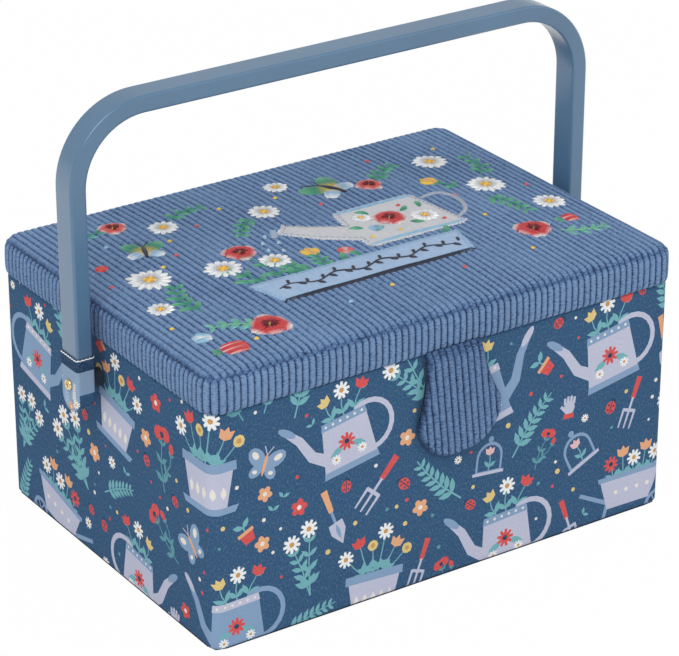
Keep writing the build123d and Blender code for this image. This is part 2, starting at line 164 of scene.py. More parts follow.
class Recipe:
    """The nodes of one material, built from values and signals."""

    def __init__(self, name: str) -> None:
        """Starts an empty material.

        Args:
            name: the material's name.
        """
        self.material = bpy.data.materials.new(name)
        self.material.use_nodes = True
        self.tree = self.material.node_tree
        self.tree.nodes.clear()

    def node(
        self,
        kind: str,
        settings: dict[str, object] | None = None,
        sockets: dict[str | int, object] | None = None,
        stops: Sequence[tuple[float, Colour]] = (),
        output: str | int = 0,
    ) -> Signal:
        """Adds a node.

        Args:
            kind: the node's type.
            settings: its properties, set before its sockets.
            sockets: values or signals for its inputs.
            stops: the places and colours of a ramp.
            output: the output to return.

        Returns:
            The chosen output.
        """
        made = self.tree.nodes.new(kind)
        for name, value in (settings or {}).items():
            setattr(made, name, value)
        if stops:
            ramp = made.color_ramp
            while len(ramp.elements) < len(stops):
                ramp.elements.new(0.5)
            for element, (place, colour) in zip(ramp.elements, stops):
                element.position = place
                element.color = colour
        for name, value in (sockets or {}).items():
            if isinstance(value, Signal):
                self.tree.links.new(value.socket, made.inputs[name])
            else:
                made.inputs[name].default_value = value
        return Signal(self, made.outputs[output])

    def place(self) -> Signal:
        """The point of the surface in the box's frame."""
        return self.node("ShaderNodeTexCoord", output="Object")

    def flat(self) -> Signal:
        """The point on the flat cloth, in metres."""
        return self.node("ShaderNodeUVMap", {"uv_map": "cloth"})

    def stretched(self, at: Signal, scale: tuple[float, float, float]) -> Signal:
        """A place scaled along each axis."""
        return self.node("ShaderNodeMapping", {}, {"Vector": at, "Scale": scale})

    def noise(self, at: Signal, scale: float, detail: float = 2.0, roughness: float = 0.5) -> Signal:
        """Soft random values about 0.5."""
        sockets = {"Vector": at, "Scale": scale, "Detail": detail, "Roughness": roughness}
        return self.node("ShaderNodeTexNoise", {}, sockets)

    def axis(self, at: Signal, letter: str) -> Signal:
        """One coordinate of a place."""
        return self.node("ShaderNodeSeparateXYZ", {}, {0: at}, output=letter)

    def blend(self, factor: Signal | float, first: object, second: object, kind: str = "MIX") -> Signal:
        """Two colours mixed by a factor."""
        settings = {"data_type": "RGBA", "blend_type": kind}
        return self.node("ShaderNodeMix", settings, {0: factor, 6: first, 7: second}, output=2)

    def inked(self, tone: Signal) -> Signal:
        """The colours of the mesh's ink attribute times a tone."""
        ink = self.node("ShaderNodeAttribute", {"attribute_name": "ink"}, output="Color")
        grey = self.node("ShaderNodeCombineColor", {}, {0: tone, 1: tone, 2: tone})
        return self.blend(1.0, ink, grey, "MULTIPLY")

    def wave(self, at: Signal, letter: str, pitch: float) -> Signal:
        """A sine along one coordinate, one period to each pitch in metres."""
        return (self.axis(at, letter) * (FULL_TURN / pitch)).sine()

    def relief(self, height: Signal, depth: float, strength: float = 1.0) -> Signal:
        """The normal of a height from 0 to 1 over a depth in metres."""
        sockets = {"Height": height, "Distance": depth, "Strength": strength}
        return self.node("ShaderNodeBump", {}, sockets)

    def close(self, **inputs: object) -> bpy.types.Material:
        """Ends the material with a principled surface.

        Args:
            inputs: its sockets, with underscores for spaces.

        Returns:
            The finished material.
        """
        sockets = {name.replace("_", " "): value for name, value in inputs.items()}
        surface = self.node("ShaderNodeBsdfPrincipled", {}, sockets)
        self.node_out(surface)
        return self.material

    def node_out(self, surface: Signal) -> None:
        """Links a surface to the material's output."""
        out = self.tree.nodes.new("ShaderNodeOutputMaterial")
        self.tree.links.new(surface.socket, out.inputs["Surface"])


@dataclass(frozen=True)
class Finish:
    """What every finish has: its name and the record's slot that it belongs to."""

    name: str
    slot: str

    def material(self) -> bpy.types.Material:
        """The material, made once."""
        return bpy.data.materials.get(self.name) or self.mix(Recipe(self.name))

    def mix(self, recipe: Recipe) -> bpy.types.Material:
        """Builds the material's nodes."""
        raise NotImplementedError


@dataclass(frozen=True)
class PrintedCotton(Finish):
    """Fine cotton whose printed colours are in the mesh's ink attribute."""

    thread_pitch: float = 0.55 * MM

    def mix(self, recipe: Recipe) -> bpy.types.Material:
        """A plain weave under the print, with small changes of tone."""
        flat = recipe.flat()
        weave = recipe.wave(flat, "X", self.thread_pitch) * recipe.wave(flat, "Y", self.thread_pitch)
        weave = weave * 0.25 + 0.5
        fibre = recipe.noise(flat, 1400.0, 2.0, 0.6)
        cloud = recipe.noise(flat, 26.0, 2.0)
        tone = (0.81 + weave * 0.14 + fibre * 0.30 + cloud * 0.10 - 0.10).between(0.0, 1.2) * 1.2
        fleck = recipe.noise(recipe.stretched(flat, (1.0, 0.55, 1.0)), 1250.0, 3.0, 0.75).between(0.5, 0.85)
        colour = recipe.blend(fleck * 0.55, recipe.inked(tone), shade(150, 172, 196))
        soft = recipe.noise(flat, 95.0, 3.0)
        normal = recipe.relief(weave * 0.5 + fibre * 0.3 + soft * 1.2, 0.10 * MM, 0.9)
        return recipe.close(Base_Color=colour, Roughness=0.9, Normal=normal, Specular_IOR_Level=0.2)


@dataclass(frozen=True)
class Corduroy(Finish):
    """Cut-pile corduroy: a fine cross grain, painted light on the wale tops, painted shade in the grooves
    and a soft sheen.
    """

    # Painted light and shade: one blue cloth, in a lit colour for the wale tops, a half-shaded one for their
    # sides and a shaded one for the grooves.
    top: Colour = shade(124, 154, 192)
    side: Colour = shade(68, 99, 142)
    groove: Colour = shade(28, 46, 80)
    tuft: float = 1.0 * MM

    def mix(self, recipe: Recipe) -> bpy.types.Material:
        """Paints shade and light by the height of the wale, dark in the grooves and light on the tops, with
        the pile's cross grain in colour and relief.
        """
        flat = recipe.flat()
        wale = recipe.node("ShaderNodeAttribute", {"attribute_name": "wale"}, output="Fac")
        lean = {"Vector": flat, "Rotation": (0, 0, 0.7), "Scale": (0.6, 1.6, 1)}
        slant = recipe.node("ShaderNodeMapping", {}, lean)
        cells = {"Vector": slant, "Scale": 1 / self.tuft, "Smoothness": 0.35}
        lump = recipe.node("ShaderNodeTexVoronoi", {"feature": "SMOOTH_F1"}, cells, output="Distance")
        fuzz = recipe.noise(flat, 1500.0, 3.0, 0.7)
        cloud = recipe.noise(flat, 18.0, 3.0)
        rope = wale - lump * 0.68 + (fuzz - 0.5) * 0.65 + (cloud - 0.5) * 0.35 + 0.22
        # The ramp paints shade into the grooves and light onto the wale tops.
        stops = ((0.0, self.groove), (0.40, self.side), (0.98, self.top))
        colour = recipe.node("ShaderNodeValToRGB", {}, {0: rope.between(0.0, 1.0)}, stops)
        normal = recipe.relief(fuzz * 0.35 - lump, 0.5 * MM, 0.8)
        return recipe.close(
            Base_Color=colour,
            Roughness=0.92,
            Normal=normal,
            Sheen_Weight=0.15,
            Sheen_Roughness=0.45,
            Sheen_Tint=shade(190, 208, 232),
        )


@dataclass(frozen=True)
class PlainCloth(Finish):
    """Plain woven cloth of one colour, from matt cotton to satin."""

    colour: Colour = shade(200, 210, 224)
    thread_pitch: float = 0.5 * MM
    roughness: float = 0.85
    sheen: float = 0.2
    slub: float = 0.2

    def mix(self, recipe: Recipe) -> bpy.types.Material:
        """A weave seen from any side, with slubs and a slow change of tone."""
        place = recipe.place()
        waves = [recipe.wave(place, letter, self.thread_pitch) for letter in "XYZ"]
        weave = (waves[0] * waves[1] + waves[1] * waves[2] + waves[0] * waves[2]) * 0.17 + 0.5
        slub = recipe.noise(recipe.stretched(place, (1.0, 1.0, 5.0)), 320.0, 3.0)
        cloud = recipe.noise(place, 30.0, 2.0)
        tone = ((slub - 0.5) * self.slub + (weave - 0.5) * 0.12 + (cloud - 0.5) * 0.16 + 0.5).between(0, 1)
        colour = recipe.blend(tone, lit(self.colour, 0.72), lit(self.colour, 1.28))
        normal = recipe.relief(weave * 0.6 + slub * 0.6, 0.12 * MM, 0.8)
        rough = self.roughness
        return recipe.close(Base_Color=colour, Roughness=rough, Normal=normal, Sheen_Weight=self.sheen)


@dataclass(frozen=True)
class SewingThread(Finish):
    """Glossy sewing thread laid side by side, in the colours of the mesh's ink attribute."""

    strand: float = 0.42 * MM

    def mix(self, recipe: Recipe) -> bpy.types.Material:
        """Fine strands along each stitch and a small change of tone between them."""
        flat = recipe.flat()
        wave = recipe.wave(flat, "Y", self.strand) * 0.5 + 0.5
        streak = recipe.noise(recipe.stretched(flat, (0.2, 1.6, 1.0)), 1500.0, 2.0)
        tone = (wave * 0.22 + (streak - 0.5) * 0.9 + 0.86).between(0.0, 1.25) * 1.25
        colour = recipe.inked(tone)
        normal = recipe.relief(wave * 0.6 + streak * 0.5, 0.12 * MM, 0.8)
        return recipe.close(Base_Color=colour, Roughness=0.48, Normal=normal, Sheen_Weight=0.15)


@dataclass(frozen=True)
class YarnCloth(Finish):
    """Cloth woven of light and dark yarns, as linen and chambray are."""

    warp: Colour = shade(214, 214, 214)
    weft: Colour = shade(186, 188, 192)
    thread_pitch: float = 0.6 * MM

    def mix(self, recipe: Recipe) -> bpy.types.Material:
        """Warp and weft that change places, each with its own slubs."""
        place = recipe.place()
        weave = recipe.wave(place, "X", self.thread_pitch) * recipe.wave(place, "Y", self.thread_pitch)
        slub_x = recipe.noise(recipe.stretched(place, (0.15, 2.4, 1.0)), 700.0, 2.0)
        slub_y = recipe.noise(recipe.stretched(place, (2.4, 0.15, 1.0)), 700.0, 2.0)
        mix = (weave * 0.18 + (slub_x - slub_y) * 1.3 + 0.5).between(0.0, 1.0)
        colour = recipe.blend(mix, self.warp, self.weft)
        normal = recipe.relief(weave * 0.25 + slub_x * 0.5 + slub_y * 0.5, 0.14 * MM, 0.9)
        return recipe.close(Base_Color=colour, Roughness=0.88, Normal=normal, Sheen_Weight=0.2)


@dataclass(frozen=True)
class MouldedPlastic(Finish):
    """Moulded plastic with a faint orange-peel surface and fine handling marks."""

    colour: Colour = shade(85, 120, 150)
    roughness: float = 0.3
    coat: float = 0.6
    grain: float = 0.02 * MM

    def mix(self, recipe: Recipe) -> bpy.types.Material:
        """Slow tone, roughness from handling and a very low relief."""
        place = recipe.place()
        cloud = recipe.noise(place, 14.0, 2.0)
        marks = recipe.noise(recipe.stretched(place, (1.0, 1.0, 4.0)), 160.0, 4.0, 0.65)
        tone = (cloud * 0.8 + marks * 0.2).between(0.3, 0.7)
        colour = recipe.blend(tone, lit(self.colour, 0.90), lit(self.colour, 1.10))
        rough = self.roughness + (marks - 0.5) * 0.10
        normal = recipe.relief(recipe.noise(place, 420.0, 2.0), self.grain, 0.35)
        return recipe.close(
            Base_Color=colour,
            Roughness=rough,
            Normal=normal,
            Coat_Weight=self.coat,
            Coat_Roughness=0.25,
        )


@dataclass(frozen=True)
class Metal(Finish):
    """Plated or bare metal with fine turning marks and a little tarnish."""

    colour: Colour = shade(226, 186, 112)
    roughness: float = 0.24
    tarnish: Colour = shade(120, 84, 48)

    def mix(self, recipe: Recipe) -> bpy.types.Material:
        """Tarnish in patches, and marks that break up the shine."""
        place = recipe.place()
        patch = recipe.noise(place, 520.0, 4.0, 0.6).between(0.45, 0.75)
        marks = recipe.noise(recipe.stretched(place, (1.0, 6.0, 6.0)), 900.0, 2.0)
        colour = recipe.blend(patch * 0.55, self.colour, self.tarnish)
        rough = self.roughness + patch * 0.15 + (marks - 0.5) * 0.12
        normal = recipe.relief(marks, 0.02 * MM, 0.5)
        return recipe.close(Base_Color=colour, Metallic=1.0, Roughness=rough, Normal=normal)


@dataclass(frozen=True)
class Card(Finish):
    """Grey card with short fibres."""

    colour: Colour = shade(178, 168, 152)

    def mix(self, recipe: Recipe) -> bpy.types.Material:
        """Fibres and pulp specks."""
        place = recipe.place()
        fibre = recipe.noise(recipe.stretched(place, (1.0, 1.0, 3.0)), 380.0, 5.0, 0.7)
        colour = recipe.blend(fibre.between(0.3, 0.7), lit(self.colour, 0.7), self.colour)
        return recipe.close(Base_Color=colour, Roughness=0.95, Normal=recipe.relief(fibre, 0.1 * MM))


class Finishes:
    """The finishes of this box."""

    PRINT = PrintedCotton("printed_cotton", "printed_cloth")
    CORDUROY = Corduroy("mid_blue_corduroy", "corduroy")
    DARK_CLOTH = PlainCloth("dark_navy_cotton", "dark_cloth", shade(34, 48, 72), sheen=0.1)
    LINING = PlainCloth("pale_blue_satin", "lining_cloth", shade(196, 211, 228), 0.3 * MM, 0.5, 0.35, 0.12)
    RIBBON = PlainCloth("blue_ribbon", "ribbon", shade(92, 124, 164), 0.5 * MM, 0.45, 0.3, 0.15)
    CUSHION = PlainCloth("coral_velvet", "pincushion_cloth", shade(214, 96, 92), 0.4 * MM, 0.9, 0.6, 0.25)
    THREAD = SewingThread("sewing_thread", "corduroy")
    LINEN = YarnCloth("grey_linen", "linen", shade(216, 215, 216), shade(192, 193, 198))
    CHAMBRAY = YarnCloth("light_chambray", "chambray", shade(176, 200, 228), shade(146, 174, 208))
    HANDLE = MouldedPlastic("blue_moulding", "handle_plastic")
    # Partly painted shade: the spacers are dark plastic, coloured dark to stand in for the shade in the gap
    # between the handle and the wall.
    SPACER = MouldedPlastic("dark_gap_shade_moulding", "handle_plastic", shade(34, 44, 60), 0.6, 0.0)
    TRAY = MouldedPlastic("frosted_moulding", "tray_plastic", shade(226, 232, 238), 0.42, 0.1, 0.08 * MM)
    BRASS = Metal("brass", "brass")
    STEEL = Metal("plated_steel", "steel", shade(190, 192, 196), 0.32, shade(120, 122, 126))
    MAGNET = Metal("nickel_plate", "magnet", shade(150, 150, 154), 0.35, shade(90, 90, 92))
    CARD = Card("grey_card", "card")


def dress(piece: Piece, finish: Finish) -> Piece:
    """Gives a new piece its finish.

    Args:
        piece: the piece.
        finish: the finish.

    Returns:
        The same piece.
    """
    piece.data.materials.clear()
    piece.data.materials.append(finish.material())
    return piece


def dress_node(name: str, finish: Finish) -> None:
    """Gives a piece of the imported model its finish."""
    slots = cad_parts[name].material_slots
    if not slots:
        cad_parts[name].data.materials.append(finish.material())
    for slot in slots:
        slot.link = "OBJECT"
        slot.material = finish.material()


class Bench:
    """The modelling steps that the pieces share."""

    @staticmethod
    def clear() -> None:
        """Leaves edit mode and deselects everything."""
        if bpy.context.object and bpy.context.object.mode != "OBJECT":
            bpy.ops.object.mode_set(mode="OBJECT")
        bpy.ops.object.select_all(action="DESELECT")

    @staticmethod
    def hold(piece: Piece) -> None:
        """Selects one piece alone and makes it active."""
        Bench.clear()
        piece.select_set(True)
        bpy.context.view_layer.objects.active = piece

    @staticmethod
    @contextmanager
    def editing(piece: Piece) -> Iterator[None]:
        """Edit mode on one piece, with all of it selected."""
        Bench.hold(piece)
        bpy.ops.object.mode_set(mode="EDIT")
        bpy.ops.mesh.select_all(action="SELECT")
        yield
        bpy.ops.object.mode_set(mode="OBJECT")

    @staticmethod
    def named(name: str) -> Piece:
        """Names the primitive that was just added and applies its place."""
        piece = bpy.context.object
        piece.name = piece.data.name = name
        bpy.ops.object.transform_apply(location=True, rotation=True, scale=True)
        return piece

    @staticmethod
    def meshed(name: str, points: Array, faces: list, edges: Sequence[tuple[int, int]] = ()) -> Piece:
        """A new smooth piece of corner points in millimetres."""
        mesh = bpy.data.meshes.new(name)
        mesh.from_pydata((points * MM).tolist(), edges, faces)
        mesh.polygons.foreach_set("use_smooth", [True] * len(mesh.polygons))
        piece = bpy.data.objects.new(name, mesh)
        bpy.context.collection.objects.link(piece)
        return piece

    @staticmethod
    def grid(name: str, columns: int, rows: int, surface: Surface) -> Piece:
        """A sheet of squares bent to a surface.

        Args:
            name: the piece's name.
            columns: squares along the first share.
            rows: squares along the second share.
            surface: gives the points, in millimetres, of two shares from 0 to 1.

        Returns:
            The new piece, smooth, with its shares as a UV map.
        """
        Bench.clear()
        bpy.ops.mesh.primitive_grid_add(x_subdivisions=columns, y_subdivisions=rows, size=1)
        piece = Bench.named(name)
        mesh = piece.data
        flat = np.empty(3 * len(mesh.vertices))
        mesh.vertices.foreach_get("co", flat)
        flat = flat.reshape(-1, 3) + 0.5
        mesh.vertices.foreach_set("co", (surface(flat[:, 0], flat[:, 1]) * MM).ravel())
        mesh.polygons.foreach_set("use_smooth", [True] * len(mesh.polygons))
        mesh.update()
        return piece

    @staticmethod
    def weld(piece: Piece, reach: float = 0.001) -> None:
        """Joins the corners that lie within a reach in millimetres and turns the faces outwards."""
        with Bench.editing(piece):
            bpy.ops.mesh.remove_doubles(threshold=reach * MM)
            bpy.ops.mesh.normals_make_consistent(inside=False)

    @staticmethod
    def turn_faces(piece: Piece) -> None:
        """Flips every face of an open sheet."""
        with Bench.editing(piece):
            bpy.ops.mesh.flip_normals()

    @staticmethod
    def modify(piece: Piece, kind: str, **settings: object) -> None:
        """Adds a modifier and applies it."""
        Bench.hold(piece)
        modifier = piece.modifiers.new(kind.lower(), kind)
        for name, value in settings.items():
            setattr(modifier, name, value)
        bpy.ops.object.modifier_apply(modifier=modifier.name)

    @staticmethod
    def smooth(piece: Piece, degrees: float) -> None:
        """Shades a piece smooth up to an angle."""
        Bench.hold(piece)
        bpy.ops.object.shade_smooth_by_angle(angle=math.radians(degrees))

    @staticmethod
    def lathe(name: str, profile: Sequence[Point], side: int, axis_at: Vector) -> Piece:
        """A round piece turned about an axis along X.

        Args:
            name: the piece's name.
            profile: (distance along X, radius) pairs in millimetres.
            side: 1 for the right and -1 for the left.
            axis_at: a point on the axis, in millimetres.

        Returns:
            The new piece.
        """
        corners = np.array([(side * x, axis_at.y, axis_at.z + radius) for x, radius in profile])
        piece = Bench.meshed(name, corners, [], [(i, i + 1) for i in range(len(profile) - 1)])
        with Bench.editing(piece):
            bpy.ops.mesh.spin(steps=40, angle=FULL_TURN, center=axis_at * MM, axis=(1, 0, 0))
        Bench.weld(piece, 0.002)
        Bench.smooth(piece, 40.0)
        return piece

    @staticmethod
    def tag(piece: Piece, name: str, values: Array) -> None:
        """Stores a number for each corner point of a mesh."""
        attribute = piece.data.attributes.new(name, "FLOAT", "POINT")
        attribute.data.foreach_set("value", values.astype(np.float32))

    @staticmethod
    def paint(piece: Piece, colours: Array) -> None:
        """Stores a colour for each corner of each face."""
        layer = piece.data.color_attributes.new("ink", "FLOAT_COLOR", "CORNER")
        layer.data.foreach_set("color", colours.ravel())

    @staticmethod
    def points(piece: Piece) -> Array:
        """The corner points of a mesh, in millimetres."""
        found = np.empty(3 * len(piece.data.vertices))
        piece.data.vertices.foreach_get("co", found)
        return found.reshape(-1, 3) / MM

    @staticmethod
    def lay_cloth(piece: Piece, flat: Array) -> None:
        """Stores the flat cloth's coordinates, given in millimetres for each corner point, as a UV map."""
        mesh = piece.data
        layer = mesh.uv_layers.get("cloth") or mesh.uv_layers.new(name="cloth")
        while len(mesh.uv_layers) > 1:
            spare = next(other for other in mesh.uv_layers if other.name != "cloth")
            mesh.uv_layers.remove(spare)
            layer = mesh.uv_layers["cloth"]
        corner = np.empty(len(mesh.loops), dtype=int)
        mesh.loops.foreach_get("vertex_index", corner)
        layer.data.foreach_set("uv", (flat[corner, :2] * MM).ravel())


def hand(side: int) -> str:
    """The name of a side: 1 is the right and -1 the left."""
    return "right" if side > 0 else "left"


def span(node: str) -> tuple[Array, Array]:
    """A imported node's lowest and highest corners, in millimetres."""
    low, high = (np.array(corner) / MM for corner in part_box(node))
    return low, high


def ride(piece: Piece, body: str, *stands_for: str) -> Piece:
    """Fixes a finished piece to a body and logs it.

    Args:
        piece: the piece.
        body: the body that it moves with.
        stands_for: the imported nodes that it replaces.

    Returns:
        The same piece.
    """
    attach(piece, body)
    if stands_for:
        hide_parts(*stands_for)
    log.info("%s rides on %s, %d faces", piece.name, body, len(piece.data.polygons))
    return piece


def pad(piece: Piece, fill: float, body: str, *stands_for: str) -> Piece:
    """Fixes a padded piece to a body."""
    return ride(piece, body, *stands_for)


def cross(
    piece: Piece, first: str, last: str, node: str, start: Sequence[float], end: Sequence[float]
) -> None:
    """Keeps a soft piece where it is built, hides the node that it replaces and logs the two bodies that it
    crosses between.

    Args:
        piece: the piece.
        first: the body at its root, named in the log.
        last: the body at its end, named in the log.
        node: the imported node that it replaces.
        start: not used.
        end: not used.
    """
    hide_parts(node)
    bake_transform(piece)
    log.info("%s crosses from %s to %s", piece.name, first, last)


def turned(x: float, y: float, flat: Iterable[Point], turn: float, size: float = 1.0) -> Outline:
    """Flat points turned by an angle in degrees, scaled, and moved to a place."""
    cosine, sine = size * math.cos(math.radians(turn)), size * math.sin(math.radians(turn))
    return [(x + a * cosine - b * sine, y + a * sine + b * cosine) for a, b in flat]


def oval(x: float, y: float, wide: float, high: float = 0.0, turn: float = 0.0, steps: int = 10) -> Outline:
    """An oval outline.

    Args:
        x: the middle's first coordinate.
        y: the middle's second coordinate.
        wide: half of its width.
        high: half of its height, or 0 for a circle.
        turn: its turn in degrees.
        steps: its corners.

    Returns:
        The corners, anticlockwise.
    """
    high = high or wide
    angles = [FULL_TURN * step / steps for step in range(steps)]
    return turned(x, y, [(wide * math.cos(angle), high * math.sin(angle)) for angle in angles], turn)


def strip(points: Sequence[Point], start: float, end: float | None = None) -> Outline:
    """The outline of a line drawn with a width.

    Args:
        points: the line's points.
        start: the width at the first point.
        end: the width at the last point, or None for the same.

    Returns:
        The corners, anticlockwise.
    """
    end = start if end is None else end
    left, right = [], []
    last = len(points) - 1
    for index, (x, y) in enumerate(points):
        before, after = points[max(0, index - 1)], points[min(last, index + 1)]
        run = math.hypot(after[0] - before[0], after[1] - before[1])
        half = 0.5 * (start + (end - start) * index / last)
        side = (-(after[1] - before[1]) / run * half, (after[0] - before[0]) / run * half)
        left.append((x + side[0], y + side[1]))
        right.append((x - side[0], y - side[1]))
    return right + left[::-1]


def leaf(x: float, y: float, length: float, width: float, turn: float) -> Outline:
    """A pointed leaf that grows from a point.

    Args:
        x: its foot's first coordinate.
        y: its foot's second coordinate.
        length: its length.
        width: its greatest width.
        turn: its direction in degrees.

    Returns:
        The corners, anticlockwise.
    """
    flat = [(0.0, 0.0), (0.3, -0.85), (0.6, -0.9), (1.0, 0.0), (0.6, 0.9), (0.3, 0.85)]
    return turned(x, y, [(a * length, b * (width / 2)) for a, b in flat], turn)


def bow(x: float, y: float, radius: float, first: float, last: float, steps: int = 8) -> list[Point]:
    """The points of an arc from one angle to another, in degrees."""
    angles = [math.radians(first + (last - first) * step / steps) for step in range(steps + 1)]
    return [(x + radius * math.cos(angle), y + radius * math.sin(angle)) for angle in angles]


def polar(x: float, y: float, reach: float, angle: float) -> Point:
    """A point at a reach and an angle in degrees from another."""
    return (x + reach * math.cos(math.radians(angle)), y + reach * math.sin(math.radians(angle)))


def heading(first: Sequence[float], last: Sequence[float]) -> float:
    """The direction from one point to another, in degrees."""
    return math.degrees(math.atan2(last[1] - first[1], last[0] - first[0]))


def smooth_line(points: Sequence[Point], rounds: int) -> list[Point]:
    """A broken line with its corners cut again and again."""
    line = [tuple(point) for point in points]
    for _ in range(rounds if len(line) > 2 else 0):
        cut = [line[0]]
        for (x1, y1), (x2, y2) in zip(line, line[1:]):
            cut += [(near * x1 + (1 - near) * x2, near * y1 + (1 - near) * y2) for near in (0.75, 0.25)]
        line = [*cut, line[-1]]
    return line


Shape = tuple[Ink, Outline]


class Motif:
    """A small drawing of flat coloured shapes, the later ones on top."""

    def __init__(self, shapes: Iterable[Shape] = ()) -> None:
        """Starts with some shapes."""
        self.shapes = list(shapes)

    def add(self, ink: Ink, outline: Outline) -> "Motif":
        """Adds one shape and returns the drawing."""
        self.shapes.append((ink, outline))
        return self

    def daisy(
        self, x: float, y: float, radius: float, petal: Ink = Ink.WHITE, eye: Ink = Ink.TAN
    ) -> "Motif":
        """Adds a daisy of nine petals."""
        points = 3 * 9
        rim = []
        for step in range(points):
            reach = radius * (0.55, 1.0, 1.0)[step % 3]
            angle = FULL_TURN * (step + (0.0, -0.12, 0.12)[step % 3]) / points
            rim.append((x + reach * math.cos(angle), y + reach * math.sin(angle)))
        return self.add(petal, rim).add(eye, oval(x, y, 0.3 * radius, steps=8))

    def tulip(self, x: float, y: float, size: float, turn: float, ink: Ink) -> "Motif":
        """Adds a tulip that opens along a direction in degrees."""
        flat = [(-0.5, 0.0), (-0.3, -0.5), (0.35, -0.62), (0.2, -0.22), (0.55, 0.0), (0.2, 0.22)]
        flat += [(0.35, 0.62), (-0.3, 0.5)]
        cosine, sine = math.cos(math.radians(turn)), math.sin(math.radians(turn))
        corners = [(x + size * (a * cosine - b * sine), y + size * (a * sine + b * cosine)) for a, b in flat]
        return self.add(ink, corners)

    def stem(self, points: Sequence[Point], leaves: int, size: float, ink: Ink = Ink.PALE_TEAL) -> "Motif":
        """Adds a stem with leaves in pairs along it."""
        self.add(ink, strip(points, 0.75, 0.5))
        for index in range(leaves):
            at = run_of(points)[-1] * (0.18 + 0.68 * index / max(1, leaves - 1))
            foot, ahead = along(points, np.array([at, at + 1]))
            length = size * (1.1 - 0.4 * index / max(1, leaves - 1))
            for side in (48, -48):
                self.add(ink, leaf(*foot, length, 0.42 * length, heading(foot, ahead) + side))
        return self

    def placed(
        self, x: float, y: float, turn: float = 0.0, size: float = 1.0, flip: bool = False
    ) -> "Motif":
        """A turned, scaled and moved copy.

        Args:
            x: where its middle goes.
            y: where its middle goes.
            turn: its turn in degrees.
            size: its scale.
            flip: whether it faces the other way.

        Returns:
            The copy, its corners still anticlockwise.
        """
        side = -1 if flip else 1
        copy = Motif()
        for ink, outline in self.shapes:
            corners = turned(x, y, [(side * a, b) for a, b in outline], turn, size)
            copy.add(ink, corners[::-1] if flip else corners)
        return copy


